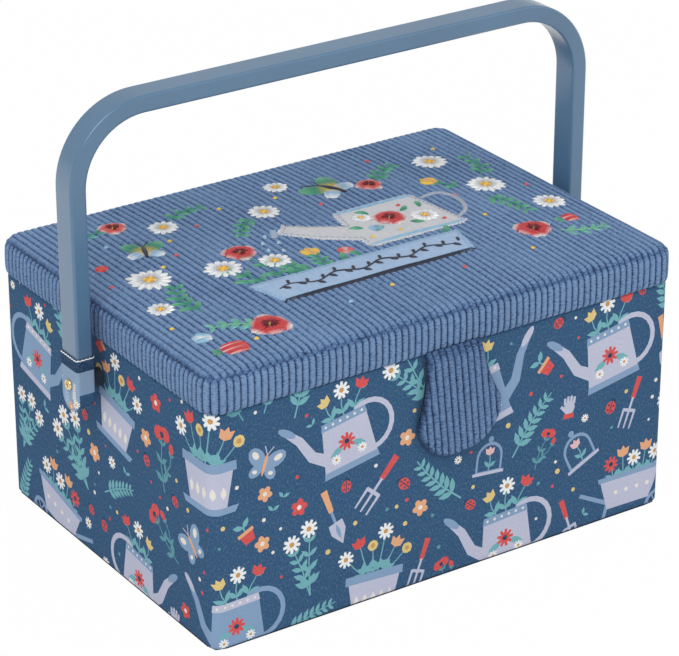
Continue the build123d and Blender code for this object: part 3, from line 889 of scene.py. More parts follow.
class GardenPrint:
    """A generic garden print: cans, pots, barrows, hives, butterflies, tools, sprigs and small things."""

    def __init__(self, seed: int = 7) -> None:
        """Draws each motif once.

        Args:
            seed: the start of the random places.
        """
        self.random = random.Random(seed)
        self.large = [self.can(), self.pot_of_flowers(), self.can(Ink.CHAMBRAY, Ink.LAVENDER), self.barrow()]
        self.middle = [self.hive(), self.butterfly(Ink.TEAL, Ink.GOLD), *self.tools()]
        self.middle += [self.butterfly(Ink.CHAMBRAY, Ink.CREAM), self.bell_jar()]
        self.sprigs = [self.daisy_sprig(3), self.daisy_sprig(2), self.fern(), self.poppy_sprig()]
        self.small = [self.seedling(), self.radish(), self.clock(), self.blossom(Ink.CORAL)]
        self.small += [self.blossom(Ink.PEACH), self.ladybird(), self.acorn(), self.glove()]
        self.tiny = [Motif().add(ink, oval(0, 0, 0.9, steps=7)) for ink in (Ink.CREAM, Ink.CORAL, Ink.TEAL)]
        self.tiny += [Motif(self.leaves(0, 4.2, 1.9, 40, 140)), Motif().daisy(0, 0, 2.6)]
        self.tiny += [Motif().add(Ink.GOLD, oval(0, 0, 1.2, steps=7))]

    @staticmethod
    def leaves(y: float, length: float, width: float, *turns: float) -> list[Shape]:
        """Leaves that grow from one point."""
        return [(Ink.PALE_TEAL, leaf(0, y, length, width, turn)) for turn in turns]

    def can(self, body: Ink = Ink.LAVENDER, trim: Ink = Ink.CHAMBRAY) -> Motif:
        """A watering can with flowers in it."""
        drawing = Motif()
        for foot, tip in (((-6, 10), (-13, 22)), ((-1, 10), (-2, 24)), ((4, 10), (8, 21))):
            middle = (0.5 * (foot[0] + tip[0]) + 1, 0.5 * (foot[1] + tip[1]))
            drawing.stem([foot, middle, tip], 2, 6.0)
        drawing.tulip(-13, 23, 6, 118, Ink.CORAL).daisy(-2, 24, 4.4).tulip(8, 22, 5.6, 62, Ink.GOLD)
        drawing.add(body, strip([(10, -9), (19, -2), (24, 9), (29, 15)], 6.4, 3.4))
        drawing.add(trim, oval(29.5, 15.8, 1.9, 5.4, -48, 12))
        drawing.add(body, strip(bow(-13, 0, 12.5, 62, 268, 12), 2.6))
        drawing.add(body, [(-15, -15), (14, -15), (11.5, 10.5), (-12.5, 10.5)])
        drawing.add(trim, [(-15.6, -17.6), (14.8, -17.6), (14.2, -14.2), (-15.2, -14.2)])
        drawing.add(trim, [(-13.2, 7.4), (12.2, 7.4), (11.5, 11.2), (-12.5, 11.2)])
        for step in range(6):
            drawing.add(Ink.CREAM, oval(-10.5 + 4 * step, 9.3, 0.75, steps=6))
        drawing.add(Ink.PALE_TEAL, leaf(-2, -4, 9, 3.6, 205)).add(Ink.PALE_TEAL, leaf(2, -4, 8.6, 3.6, -22))
        drawing.daisy(0, -2.6, 4.6, Ink.CORAL, Ink.DEEP_NAVY).daisy(-7.4, -9.4, 2.6).daisy(7, -9.6, 2.6)
        return drawing

    def pot_of_flowers(self) -> Motif:
        """A wide pot on a saucer with a bunch of flowers."""
        drawing = Motif()
        fans = [(-17, 13), (-10, 20), (-2, 17), (5, 23), (12, 16), (18, 11)]
        for index, (x, y) in enumerate(fans):
            drawing.stem([(0.25 * x, 0), (0.7 * x, 0.55 * y), (x, y)], 2, 6.4)
            if index % 3 == 0:
                drawing.daisy(x, y, 4.4)
            elif index % 3 == 1:
                drawing.tulip(x, y, 6.2, 90 - 2 * x, Ink.CORAL if index < 3 else Ink.PEACH)
            else:
                drawing.add(Ink.GOLD, oval(x, y, 2.9, steps=9)).add(Ink.TAN, oval(x, y, 1.3, steps=7))
        drawing.add(Ink.LAVENDER, [(-11, -19), (11, -19), (15, 0.5), (-15, 0.5)])
        drawing.add(Ink.CHAMBRAY, [(-16.4, -1.6), (16.4, -1.6), (16.4, 2.8), (-16.4, 2.8)])
        drawing.add(Ink.CHAMBRAY, [(-15, -21.4), (15, -21.4), (17, -18.2), (-17, -18.2)])
        for step in range(5):
            drawing.add(Ink.CREAM, leaf(-9.6 + 4.8 * step, -14.4, 6.2, 3.0, 90))
        return drawing

    def barrow(self) -> Motif:
        """A wheelbarrow full of flowers."""
        drawing = Motif()
        for index, x in enumerate((-12, -5, 2, 9, 15)):
            top = 15 + 4 * (index % 2)
            drawing.stem([(x * 0.8, 5), (x, top)], 2, 5.4)
            if index % 2:
                drawing.tulip(x, top + 1, 6, 90, Ink.PEACH)
            else:
                drawing.daisy(x, top, 4.2, *((Ink.WHITE, Ink.TAN) if index else (Ink.CORAL, Ink.DEEP_NAVY)))
        drawing.add(Ink.CHAMBRAY, strip([(-8, -8), (-30, 3)], 2.4, 2.0))
        drawing.add(Ink.CHAMBRAY, strip([(-13, -6), (-16, -18)], 2.2, 1.8))
        drawing.add(Ink.LAVENDER, [(-13, -9), (12, -9), (20, 7), (-18, 7)])
        drawing.add(Ink.CHAMBRAY, [(-18.8, 6), (20.8, 6), (21.4, 8.6), (-19.4, 8.6)])
        hub = (17, -13)
        drawing.add(Ink.CHAMBRAY, oval(*hub, 6.6, steps=16)).add(Ink.DEEP_NAVY, oval(*hub, 4.6, steps=14))
        for spoke in (0, 60, 120):
            drawing.add(Ink.CHAMBRAY, strip([polar(*hub, 4.8, spoke), polar(*hub, 4.8, spoke + 180)], 0.9))
        for step in range(4):
            drawing.add(Ink.CREAM, oval(-8 + 6.4 * step, -1, 1.2, steps=7))
        return drawing

    def hive(self) -> Motif:
        """A straw hive in a wreath."""
        drawing = Motif()
        for angle in range(0, 360, 30):
            drawing.add(Ink.PALE_TEAL, leaf(*polar(0, 0, 10.6, angle), 5.4, 2.6, angle + 52))
        drawing.add(Ink.CREAM, oval(0, 0, 11, steps=20))
        for index, (half, y) in enumerate(((6.6, -6), (6.9, -2.6), (6.2, 0.8), (4.9, 4.0), (2.8, 6.8))):
            drawing.add(Ink.TAN if index % 2 else Ink.GOLD, oval(0, y, half, 1.9, steps=12))
        drawing.add(Ink.DEEP_NAVY, oval(0, -5.6, 1.7, 2.0, steps=9))
        return drawing

    def butterfly(self, wing: Ink, spot: Ink) -> Motif:
        """A butterfly with spread wings."""
        drawing = Motif()
        for side in (1, -1):
            drawing.add(wing, oval(side * 5.4, 3.2, 6.2, 4.0, side * 38, 12))
            drawing.add(wing, oval(side * 4.2, -3.6, 4.2, 3.0, side * -48, 11))
            drawing.add(spot, oval(side * 6.6, 4.2, 2.6, 1.6, side * 38, 8))
            drawing.add(spot, oval(side * 4.6, -4.0, 1.5, 1.1, steps=7))
            drawing.add(Ink.LAVENDER, strip([(0, 5), (side * 2.6, 9.4)], 0.5, 0.6))
        return drawing.add(Ink.PEACH, oval(0, 0, 0.95, 6.0, steps=10))

    def tools(self) -> list[Motif]:
        """A hand trowel and a hand fork."""
        grip = strip([(0, 12.5), (0, 9), (0, 1.5)], 3.2, 2.4)
        blade = [(-3.4, -4.2), (-3.6, -9), (0, -15.5), (3.6, -9), (3.4, -4.2)]
        trowel = Motif().add(Ink.CHAMBRAY, strip([(0, 2), (0, -5)], 1.3)).add(Ink.PEACH, grip)
        trowel.add(Ink.LAVENDER, blade).add(Ink.CHAMBRAY, leaf(0, -5, 8, 2.0, -90))
        fork = Motif().add(Ink.CORAL, grip).add(Ink.LAVENDER, strip([(0, 2), (0, -4)], 1.3))
        fork.add(Ink.LAVENDER, strip([(-3.8, -4.4), (3.8, -4.4)], 1.6))
        for x in (-3.4, 0, 3.4):
            fork.add(Ink.LAVENDER, strip([(x, -4), (x, -13.5)], 1.4, 0.8))
        return [trowel, fork]

    def bell_jar(self) -> Motif:
        """A glass bell over a small plant."""
        dome = bow(0, 0, 7.6, 0, 180, 12) + [(-7.6, -8), (7.6, -8)]
        inside = [(a * 0.84, b * 0.84 - 0.4) for a, b in dome]
        drawing = Motif().add(Ink.CHAMBRAY, dome).add(Ink.NAVY, inside)
        drawing.add(Ink.CHAMBRAY, oval(0, 9, 1.6, steps=8))
        drawing.add(Ink.LAVENDER, strip([(-9, -8.4), (9, -8.4)], 1.6))
        return drawing.stem([(0, -7), (0.6, -2), (0, 2)], 2, 4.2).tulip(0, 3, 4.4, 90, Ink.BLUSH)

    def daisy_sprig(self, flowers: int) -> Motif:
        """A leafy sprig with daisies."""
        drawing = Motif()
        for index in range(flowers):
            lean = (index - (flowers - 1) / 2) * 9
            tall = 16 - 3.5 * abs(index - 1)
            leaves = 4 if index % 2 else 5
            drawing.stem([(0, -17), (0.35 * lean, -4), (lean, tall - 4)], leaves, 6.2)
            drawing.daisy(lean, tall - 2, 4.2)
        return drawing

    def fern(self, ink: Ink = Ink.PALE_TEAL) -> Motif:
        """A bare leafy sprig."""
        return Motif().stem([(-3, -15), (-1.4, -4), (1.2, 6), (4.4, 14)], 7, 6.0, ink)

    def poppy_sprig(self) -> Motif:
        """A sprig with one poppy and a bud."""
        drawing = Motif().stem([(0, -15), (-1.6, -4), (0, 8)], 3, 5.8, Ink.TEAL)
        drawing.stem([(0, -8), (5, -2), (6.4, 4)], 2, 4.0, Ink.TEAL)
        for petal in ((6.4, 5.6, 1.7, 2.4, 0, 8), (-2.2, 9.6, 3.6, 3.0, 24), (2.4, 10.2, 3.4, 3.0, -24)):
            drawing.add(Ink.CORAL, oval(*petal))
        return drawing.add(Ink.DEEP_NAVY, oval(0, 9.4, 1.4, steps=8))

    def seedling(self) -> Motif:
        """A small pot with a seedling."""
        drawing = Motif(self.leaves(1, 5.6, 2.8, 38, 142)).add(Ink.PALE_TEAL, strip([(0, -2), (0, 2)], 0.7))
        drawing.add(Ink.CORAL, [(-2.6, -7.4), (2.6, -7.4), (3.6, -2), (-3.6, -2)])
        return drawing.add(Ink.PEACH, [(-4.2, -2.6), (4.2, -2.6), (4.2, -0.9), (-4.2, -0.9)])

    def radish(self) -> Motif:
        """A radish with its leaves."""
        drawing = Motif(self.leaves(2, 6.4, 2.8, 66, 112)).add(Ink.CORAL, oval(0, 0, 2.9, 3.1, steps=11))
        return drawing.add(Ink.CREAM, leaf(0, -2.2, 4.4, 1.6, -86))

    def clock(self) -> Motif:
        """A dandelion clock."""
        drawing = Motif()
        for angle in range(0, 360, 30):
            near, far = polar(0, 0, 1.6, angle), polar(0, 0, 5.2, angle)
            drawing.add(Ink.WHITE, strip([near, far], 0.4)).add(Ink.WHITE, oval(*far, 0.75, steps=6))
        return drawing.add(Ink.CREAM, oval(0, 0, 1.5, steps=8))

    def blossom(self, ink: Ink) -> Motif:
        """A five-petalled blossom."""
        drawing = Motif()
        for angle in range(18, 360, 72):
            drawing.add(ink, oval(*polar(0, 0, 2.3, angle), 1.9, 1.6, angle, 8))
        return drawing.add(Ink.CREAM, oval(0, 0, 1.2, steps=7))

    def ladybird(self) -> Motif:
        """A ladybird."""
        drawing = Motif().add(Ink.DEEP_NAVY, oval(0, 2.4, 1.7, steps=8))
        drawing.add(Ink.CORAL, oval(0, 0, 2.5, 2.9, steps=10))
        drawing.add(Ink.DEEP_NAVY, strip([(0, 2.6), (0, -2.7)], 0.45))
        for x, y in ((1.2, 0.9), (-1.2, 0.9), (1.1, -1.2), (-1.1, -1.2)):
            drawing.add(Ink.DEEP_NAVY, oval(x, y, 0.5, steps=6))
        return drawing

    def acorn(self) -> Motif:
        """An acorn."""
        drawing = Motif().add(Ink.GOLD, oval(0, -1.4, 2.5, 3.4, steps=11))
        return drawing.add(Ink.TAN, oval(0, 1.8, 3.2, 1.8)).add(Ink.TAN, strip([(0, 3), (0.7, 5.4)], 0.9))

    def glove(self) -> Motif:
        """A gardening glove."""
        drawing = Motif().add(Ink.LAVENDER, oval(0, 0, 3.4, 3.8, steps=11))
        for index, x in enumerate((-2.6, -0.9, 0.9, 2.6)):
            drawing.add(Ink.LAVENDER, strip([(x, 2), (1.15 * x, 6.4 - 0.8 * (index in (0, 3)))], 1.7, 1.4))
        drawing.add(Ink.LAVENDER, strip([(-2.4, -1), (-5.2, 1.6)], 1.9, 1.5))
        return drawing.add(Ink.CORAL, [(-3.2, -5.6), (3.2, -5.6), (2.9, -3), (-2.9, -3)])

    def scatter(self, width: float, height: float) -> list[Shape]:
        """Fills a strip of cloth with the print.

        Args:
            width: the strip's length in millimetres.
            height: the strip's height in millimetres.

        Returns:
            All its shapes, the later ones on top.
        """
        taken = Clearings(width, height)
        done = Motif()
        pitch, rise = 76.0, 39.0
        below: list[int] = []

        def try_place(drawing: Motif) -> None:
            """Keeps a drawing where it clears the others."""
            if taken.claim(drawing):
                done.shapes += drawing.shapes

        for row in range(4):
            shift = 30.0 * row + 9.0 * (row % 2)
            chosen: list[int] = []
            for column in range(-1, int(width / pitch) + 2):
                near = chosen[-2:] + below[max(0, len(chosen) - 1) : len(chosen) + 3]
                fresh = [index for index in range(len(self.large)) if index not in near]
                chosen.append(self.random.choice(fresh or list(range(len(self.large)))))
                turn = self.random.uniform(-14, 14)
                x, y = column * pitch + shift, 13.0 + rise * row + self.random.uniform(-3, 3)
                size = self.random.uniform(0.98, 1.12)
                try_place(self.large[chosen[-1]].placed(x, y, turn, size, flip=(column + row) % 2 == 0))
            below = chosen
        for group, tries, low, high in (
            (self.sprigs, 900, 1.0, 1.3),
            (self.middle, 1100, 0.95, 1.2),
            (self.sprigs, 1500, 0.75, 1.1),
            (self.small, 2200, 0.95, 1.25),
            (self.tiny, 3200, 0.85, 1.3),
        ):
            for _ in range(tries):
                x, y = self.random.uniform(-4, width + 4), self.random.uniform(-4, height + 4)
                drawing = self.random.choice(group)
                turn = self.random.uniform(-60, 60)
                try_place(drawing.placed(x, y, turn, self.random.uniform(low, high)))
        return done.shapes


class Clearings:
    """A map, one cell a millimetre, of the cloth that the drawings leave free."""

    EDGE = 20

    def __init__(self, width: float, height: float, gap: int = 2) -> None:
        """Starts with all of the cloth free.

        Args:
            width: the cloth's length in millimetres.
            height: its height in millimetres.
            gap: the cells kept free round each drawing.
        """
        self.gap = gap
        self.used = np.zeros((int(height) + 2 * self.EDGE, int(width) + 2 * self.EDGE), dtype=bool)

    def claim(self, drawing: Motif) -> bool:
        """Takes a drawing's cells if they are all free.

        Args:
            drawing: the drawing.

        Returns:
            Whether it was taken.
        """
        corners = np.array([point for _, outline in drawing.shapes for point in outline]) + self.EDGE
        low = np.floor(corners.min(axis=0)).astype(int) - self.gap - 1
        high = np.ceil(corners.max(axis=0)).astype(int) + self.gap + 2
        if low.min() < 0 or high[0] > self.used.shape[1] or high[1] > self.used.shape[0]:
            return False
        across, up = np.meshgrid(np.arange(low[0], high[0]) + 0.5, np.arange(low[1], high[1]) + 0.5)
        cells = np.zeros(across.shape, dtype=bool)
        for _, outline in drawing.shapes:
            cells |= self.inside(np.array(outline) + self.EDGE, across, up)
        window = (slice(low[1], high[1]), slice(low[0], high[0]))
        if (self.used[window] & cells).any():
            return False
        grown = cells.copy()
        for _ in range(self.gap):
            grown[1:] |= grown[:-1].copy()
            grown[:-1] |= grown[1:].copy()
            grown[:, 1:] |= grown[:, :-1].copy()
            grown[:, :-1] |= grown[:, 1:].copy()
        self.used[window] |= grown
        return True

    @staticmethod
    def inside(corners: Array, across: Array, up: Array) -> Array:
        """Which points lie inside an outline, or very near one of its corners."""
        found = np.zeros(across.shape, dtype=bool)
        for (x1, y1), (x2, y2) in zip(corners, np.roll(corners, -1, axis=0)):
            found |= (np.abs(across - x1) < 0.75) & (np.abs(up - y1) < 0.75)
            if y1 != y2:
                crosses = ((y1 > up) != (y2 > up)) & (across < (x2 - x1) * (up - y1) / (y2 - y1) + x1)
                found ^= crosses
        return found


@dataclass
class PrintedPanel:
    """A piece of printed cloth whose colours are cut into its mesh.

    The shapes are drawn on flat cloth, and a surface function bends the cloth into place.
    """

    ground: Ink
    shapes: list[Shape]
    surface: Surface
    across_lines: Sequence[float]
    up_lines: Sequence[float]
    corners: list[Vector] = field(default_factory=list)
    triangles: list[tuple[int, int, int]] = field(default_factory=list)
    inks: list[Ink] = field(default_factory=list)

    def cut(self) -> None:
        """Cuts the cloth along the shapes and the lines where it bends."""
        left, right = self.across_lines[0], self.across_lines[-1]
        low, high = self.up_lines[0], self.up_lines[-1]
        ends = [((x, low), (x, high)) for x in self.across_lines]
        ends += [((left, y), (right, y)) for y in self.up_lines]
        points = [Vector(end) for line in ends for end in line]
        edges = [(2 * index, 2 * index + 1) for index in range(len(ends))]
        faces: list[list[int]] = []
        inks: list[Ink] = []
        for ink, outline in self.shapes:
            xs, ys = zip(*outline)
            if max(xs) < left - 1 or min(xs) > right + 1 or max(ys) < low - 1 or min(ys) > high + 1:
                continue
            faces.append(list(range(len(points), len(points) + len(outline))))
            points += [Vector(corner) for corner in outline]
            inks.append(ink)
        made = delaunay_2d_cdt(points, edges, faces, 0, 1e-5)
        self.corners, triangles, owners = made[0], made[2], made[5]
        slack = 1e-4
        for triangle, owner in zip(triangles, owners):
            middle = sum((self.corners[i] for i in triangle), Vector((0, 0))) / 3
            if left - slack < middle.x < right + slack and low - slack < middle.y < high + slack:
                self.triangles.append(tuple(triangle))
                self.inks.append(inks[max(owner)] if owner else self.ground)

    @staticmethod
    def sew(name: str, panels: "Sequence[PrintedPanel]") -> Piece:
        """Joins cut panels into one piece.

        Args:
            name: the piece's name.
            panels: the panels, side by side.

        Returns:
            The piece, with its print and its flat cloth stored on it.
        """
        bent, flat, faces, inks = [], [], [], []
        for panel in panels:
            panel.cut()
            first = sum(len(part) for part in bent)
            cloth = np.array([tuple(corner) for corner in panel.corners])
            bent.append(panel.surface(cloth[:, 0], cloth[:, 1]))
            flat.append(cloth)
            faces += [tuple(first + i for i in triangle) for triangle in panel.triangles]
            inks += panel.inks
        piece = Bench.meshed(name, np.vstack(bent), faces)
        Bench.lay_cloth(piece, np.vstack(flat))
        Bench.paint(piece, np.repeat(np.array([ink.linear for ink in inks]), 3, axis=0))
        with Bench.editing(piece):
            bpy.ops.mesh.delete_loose()
            bpy.ops.mesh.select_all(action="SELECT")
            bpy.ops.mesh.remove_doubles(threshold=0.004 * MM)
        return piece


@dataclass(frozen=True)
class Ring:
    """A rounded rectangle round the middle of the box, walked anticlockwise from the back right corner."""

    half_x: float
    half_y: float
    corner: float

    @property
    def arc(self) -> float:
        """The length of one corner."""
        return 0.5 * math.pi * self.corner

    @property
    def length(self) -> float:
        """The length all round."""
        return 4 * (self.half_x + self.half_y - 2 * self.corner + self.arc)

    @property
    def sides(self) -> tuple[float, float]:
        """The straight parts of a long and a short side."""
        return 2 * (self.half_x - self.corner), 2 * (self.half_y - self.corner)

    @property
    def stops(self) -> list[float]:
        """Where each straight side and corner begins, from the middle of the back right corner."""
        long, short = self.sides
        runs = [self.arc / 2, long, self.arc, short, self.arc, long, self.arc, short, self.arc / 2]
        return [0.0, *np.cumsum(runs).tolist()]

    def walk(self, at: Array) -> tuple[Array, Array]:
        """Points of the ring and the directions out of it.

        Args:
            at: distances along the ring from the middle of the back right corner.

        Returns:
            The points and the outward directions, each of two columns.
        """
        at = np.mod(at + self.arc / 2, self.length)
        long, short = self.sides
        place, out = np.zeros((len(at), 2)), np.zeros((len(at), 2))
        start = 0.0
        in_x, in_y = self.half_x - self.corner, self.half_y - self.corner
        centres = ((in_x, in_y), (-in_x, in_y), (-in_x, -in_y), (in_x, -in_y))
        for index, (centre, run) in enumerate(zip(centres, (long, short, long, short))):
            first = math.pi * index / 2
            here = (at >= start) & (at <= start + self.arc)
            angle = first + (at[here] - start) / max(self.corner, 1e-6)
            out[here] = np.stack([np.cos(angle), np.sin(angle)], axis=1)
            place[here] = np.array(centre) + self.corner * out[here]
            start += self.arc
            here = (at > start) & (at <= start + run)
            angle = first + math.pi / 2
            onward = np.array([-math.sin(angle), math.cos(angle)])
            normal = np.array([math.cos(angle), math.sin(angle)])
            out[here] = normal
            place[here] = np.array(centre) + self.corner * normal + np.outer(at[here] - start, onward)
            start += run
        return place, out

    def inward(self, x: Array, y: Array) -> Array:
        """How far points lie inside the ring."""
        over_x, over_y = np.abs(x) - (self.half_x - self.corner), np.abs(y) - (self.half_y - self.corner)
        outside = np.hypot(np.maximum(over_x, 0), np.maximum(over_y, 0))
        return self.corner - outside - np.minimum(np.maximum(over_x, over_y), 0)


def along(points: Sequence[Point], at: Array) -> Array:
    """Points at distances along a broken line, of two columns."""
    line = np.array(points, dtype=float)
    return np.stack([np.interp(at, run_of(points), line[:, k]) for k in (0, 1)], axis=1)


def run_of(points: Sequence[Point]) -> list[float]:
    """The distance of each point along a broken line."""
    line = np.array(points, dtype=float)
    return [0.0, *np.cumsum(np.hypot(*np.diff(line, axis=0).T)).tolist()]


@dataclass
class BoxBody:
    """The printed cloth round the walls."""

    outer: Ring = Ring(130.0, 95.0, 5.5)
    top: float = 120.7
    lining_top: float = 112.3
    turn_in: float = 5.2
    rounding: float = 1.5
    swell: float = 0.3

    def profile(self) -> list[Point]:
        """The cloth's section: how far in from the outer wall, and how high."""
        shoulder = self.top - self.rounding
        quarter = [math.pi / 2 * step / 4 for step in range(5)]
        points = [(2.2, 1.25), (0.6, 1.4), (0.0, 2.2), (0.0, 3.4), (0.0, shoulder)]
        for angle in quarter[1:]:
            inner = self.rounding * (1 - math.cos(angle))
            points.append((inner, shoulder + self.rounding * math.sin(angle)))
        for angle in quarter:
            over = self.turn_in - self.rounding + self.rounding * math.sin(angle)
            points.append((over, self.top - self.rounding * (1 - math.cos(angle))))
        return [*points, (self.turn_in, self.lining_top)]

    def bend(self, at: Array, up: Array) -> Array:
        """Bends flat cloth round the walls."""
        section = along(self.profile(), up)
        place, out = self.outer.walk(at)
        stops = self.outer.stops
        share = np.zeros(len(at))
        for first, last in zip(stops[1::2], stops[2::2]):
            share += np.clip((at - first) / (last - first), 0, 1) * ((at >= first) & (at < last))
        upright = np.clip((section[:, 1] - 3) / (self.top - 6), 0, 1)
        puff = self.swell * np.sin(math.pi * share) ** 0.5 * np.sin(math.pi * upright) ** 0.6
        puff += 0.10 * np.sin(at / 17.0 + 0.6 * np.sin(up / 23.0)) * np.sin(math.pi * upright)
        reach = puff * (section[:, 0] < 0.01) - section[:, 0]
        flat = place + out * reach[:, None]
        return np.column_stack([flat, section[:, 1]])

    def build(self) -> None:
        """Builds the printed cloth."""
        section = self.profile()
        walked = run_of(section)
        shapes = GardenPrint().scatter(self.outer.length, walked[-1])
        up_lines = sorted({round(step, 3) for step in walked} | set(np.arange(9.0, walked[4], 9.0).tolist()))
        stops = self.outer.stops
        panels = []
        for side in range(4):
            first, start, end, last = stops[2 * side : 2 * side + 4]
            left = first if side == 0 else (first + start) / 2
            right = last if side == 3 else (end + last) / 2
            lines = [*np.linspace(left, start, 4), *np.linspace(start, end, 30)[1:-1]]
            lines += [*np.linspace(end, right, 4)]
            panels.append(PrintedPanel(Ink.NAVY, shapes, self.bend, lines, up_lines))
        piece = PrintedPanel.sew("body_print", panels)
        dress(piece, Finishes.PRINT)
        flat = (self.outer.length * MM, walked[-1] * MM)
        ride(piece, "root", "outer_cover")


@dataclass
class RibbedCloth:
    """Corduroy: wales of one pitch and height with soft tops and narrow grooves."""

    pitch: float = 3.6
    height: float = 0.8
    columns: int = 8

    def wale(self, ribs: Array) -> Array:
        """The height, from 0 to 1, at a number of ribs from the first groove."""
        share = np.abs(2 * np.mod(ribs, 1.0) - 1)
        return (1 - share**2.6) ** 0.55

    def unevenness(self, ribs: Array, length: Array) -> Array:
        """Slow changes of each wale's height along it."""
        index = np.floor(ribs)
        wave = np.sin(length / 11.0 + index * 2.4) + np.sin(length / 4.7 + index * 4.1) * 0.6
        return 1 + 0.055 * wave + 0.05 * np.sin(index * 12.9898)

    @staticmethod
    def finish(piece: Piece, wale: Array, flat: Array) -> None:
        """Stores the wales, from which the finish paints shade in the grooves and light on the tops, and the
        flat cloth on a piece, and dresses it.
        """
        Bench.tag(piece, "wale", wale)
        Bench.lay_cloth(piece, flat)
        dress(piece, Finishes.CORDUROY)


@dataclass
class LidCloth:
    """The lid's corduroy: the padded top and the band round its edge."""

    cloth: RibbedCloth = field(default_factory=RibbedCloth)
    top: Ring = Ring(130.3, 95.3, 8.2)
    band: Ring = Ring(130.8, 95.8, 8.5)
    seam: float = 137.0
    shoulder: float = 5.5
    shoulder_rise: float = 2.3
    crown: float = 2.7
    band_width: float = 24.0

    def height(self, x: Array, y: Array) -> Array:
        """The top of the padding under the wales, in millimetres."""
        inside = np.clip(self.top.inward(x, y) / self.shoulder, 0, 1)
        roll = self.shoulder_rise * np.sqrt(1 - (1 - inside) ** 2)
        bulge = (1 - np.abs(x / self.top.half_x) ** 3.2) * (1 - np.abs(y / self.top.half_y) ** 3.2)
        wave = 0.12 * np.sin(x / 31.0 + 1.2) * np.sin(y / 27.0)
        return self.seam + roll + self.crown * np.clip(bulge, 0, 1) + wave * inside

    def top_sheet(self) -> None:
        """The ribbed top."""
        ribs = 72
        ring, cloth = self.top, self.cloth

        def surface(across: Array, up: Array) -> Array:
            """Bends the sheet and raises its wales."""
            x = (2 * across - 1) * ring.half_x
            past = np.maximum(np.abs(x) - (ring.half_x - ring.corner), 0)
            reach = ring.half_y - ring.corner + np.sqrt(np.maximum(ring.corner**2 - past**2, 0))
            share = 2 * up - 1
            y = reach * np.sign(share) * (1 - (1 - np.abs(share)) ** 1.15)
            rib = across * ribs
            inside = np.clip(ring.inward(x, y) / 2.6, 0, 1)
            lift = cloth.wale(rib) * cloth.unevenness(rib, y) * cloth.height
            z = self.height(x, y) + lift * (0.35 + 0.65 * inside)
            sway = 0.16 * np.sin(y / 19.0 + np.floor(rib) * 0.35) * inside
            return np.column_stack([x + sway, y, z])

        piece = Bench.grid("lid_top_corduroy", ribs * cloth.columns, 64, surface)
        flat = Bench.points(piece)
        share = (flat[:, 0] + ring.half_x) / (2 * ring.half_x) * ribs
        # Painted shade: the wales are darkened within 2.2 mm of the rim, where the rib ends turn under at
        # the seam.
        edge = np.clip(ring.inward(flat[:, 0], flat[:, 1]) / 2.2, 0, 1)
        cloth.finish(piece, cloth.wale(share) * (0.45 + 0.55 * edge), flat)
        pad(piece, 0.8, "lid", "lid_top_cover", "lid_padding")

    def edge_band(self) -> None:
        """The ribbed band round the lid's edge."""
        ribs, rows = 248, 18
        ring, cloth = self.band, self.cloth
        section = [(-4.8, 121.9), (-2.2, 121.15), (-0.9, 121.2), (-0.15, 121.9), (0.2, 123.2), (0.35, 126.0)]
        section += [(0.35, 130.5), (0.2, 134.2), (-0.05, 135.9), (-0.6, 136.9), (-1.5, 137.3), (-2.4, 136.9)]
        smooth = self.rounded(section, rows)

        def surface(across: Array, up: Array) -> Array:
            """Wraps the band round the lid and raises its wales."""
            place, out = ring.walk(across * ring.length)
            at, steps = up * (len(smooth) - 1), np.arange(len(smooth))
            reach, height, lean, rise = (np.interp(at, steps, column) for column in smooth.T)
            rib = across * ribs
            lift = cloth.wale(rib) * cloth.unevenness(rib, up * 20) * cloth.height
            flat = place + out * (reach + lift * lean)[:, None]
            return np.column_stack([flat, height + lift * rise])

        columns = ribs * cloth.columns
        piece = Bench.grid("lid_band_corduroy", columns, rows, surface)
        row, column = np.divmod(np.arange(len(piece.data.vertices)), columns + 1)
        across, up = column / columns, row / rows
        # Painted shade: the wales are darkened towards the band's lower turn and its top seam.
        edge = np.interp(up, [0.0, 0.12, 0.22, 0.86, 0.95, 1.0], [0.1, 0.55, 1.0, 1.0, 0.5, 0.0])
        flat = np.column_stack([across * ring.length, up * self.band_width])
        cloth.finish(piece, cloth.wale(across * ribs) * 1.04 * edge, flat)
        Bench.weld(piece, 0.003)
        flat = (ring.length * MM, self.band_width * MM)
        ride(piece, "lid", "lid_rim_band")

    @staticmethod
    def rounded(section: Sequence[Point], rows: int) -> Array:
        """A section at even steps, with the direction out of it at each."""
        walked = run_of(section)
        line = along(section, np.linspace(0, walked[-1], rows * 4 + 1))
        for _ in range(6):
            line[1:-1] = (line[:-2] + 2 * line[1:-1] + line[2:]) / 4
        line = line[::4]
        ahead = np.gradient(line, axis=0)
        ahead /= np.hypot(*ahead.T)[:, None]
        return np.column_stack([line, ahead[:, 1], -ahead[:, 0]])

    def build(self) -> None:
        """Builds the lid's cloth."""
        self.top_sheet()
        self.edge_band()


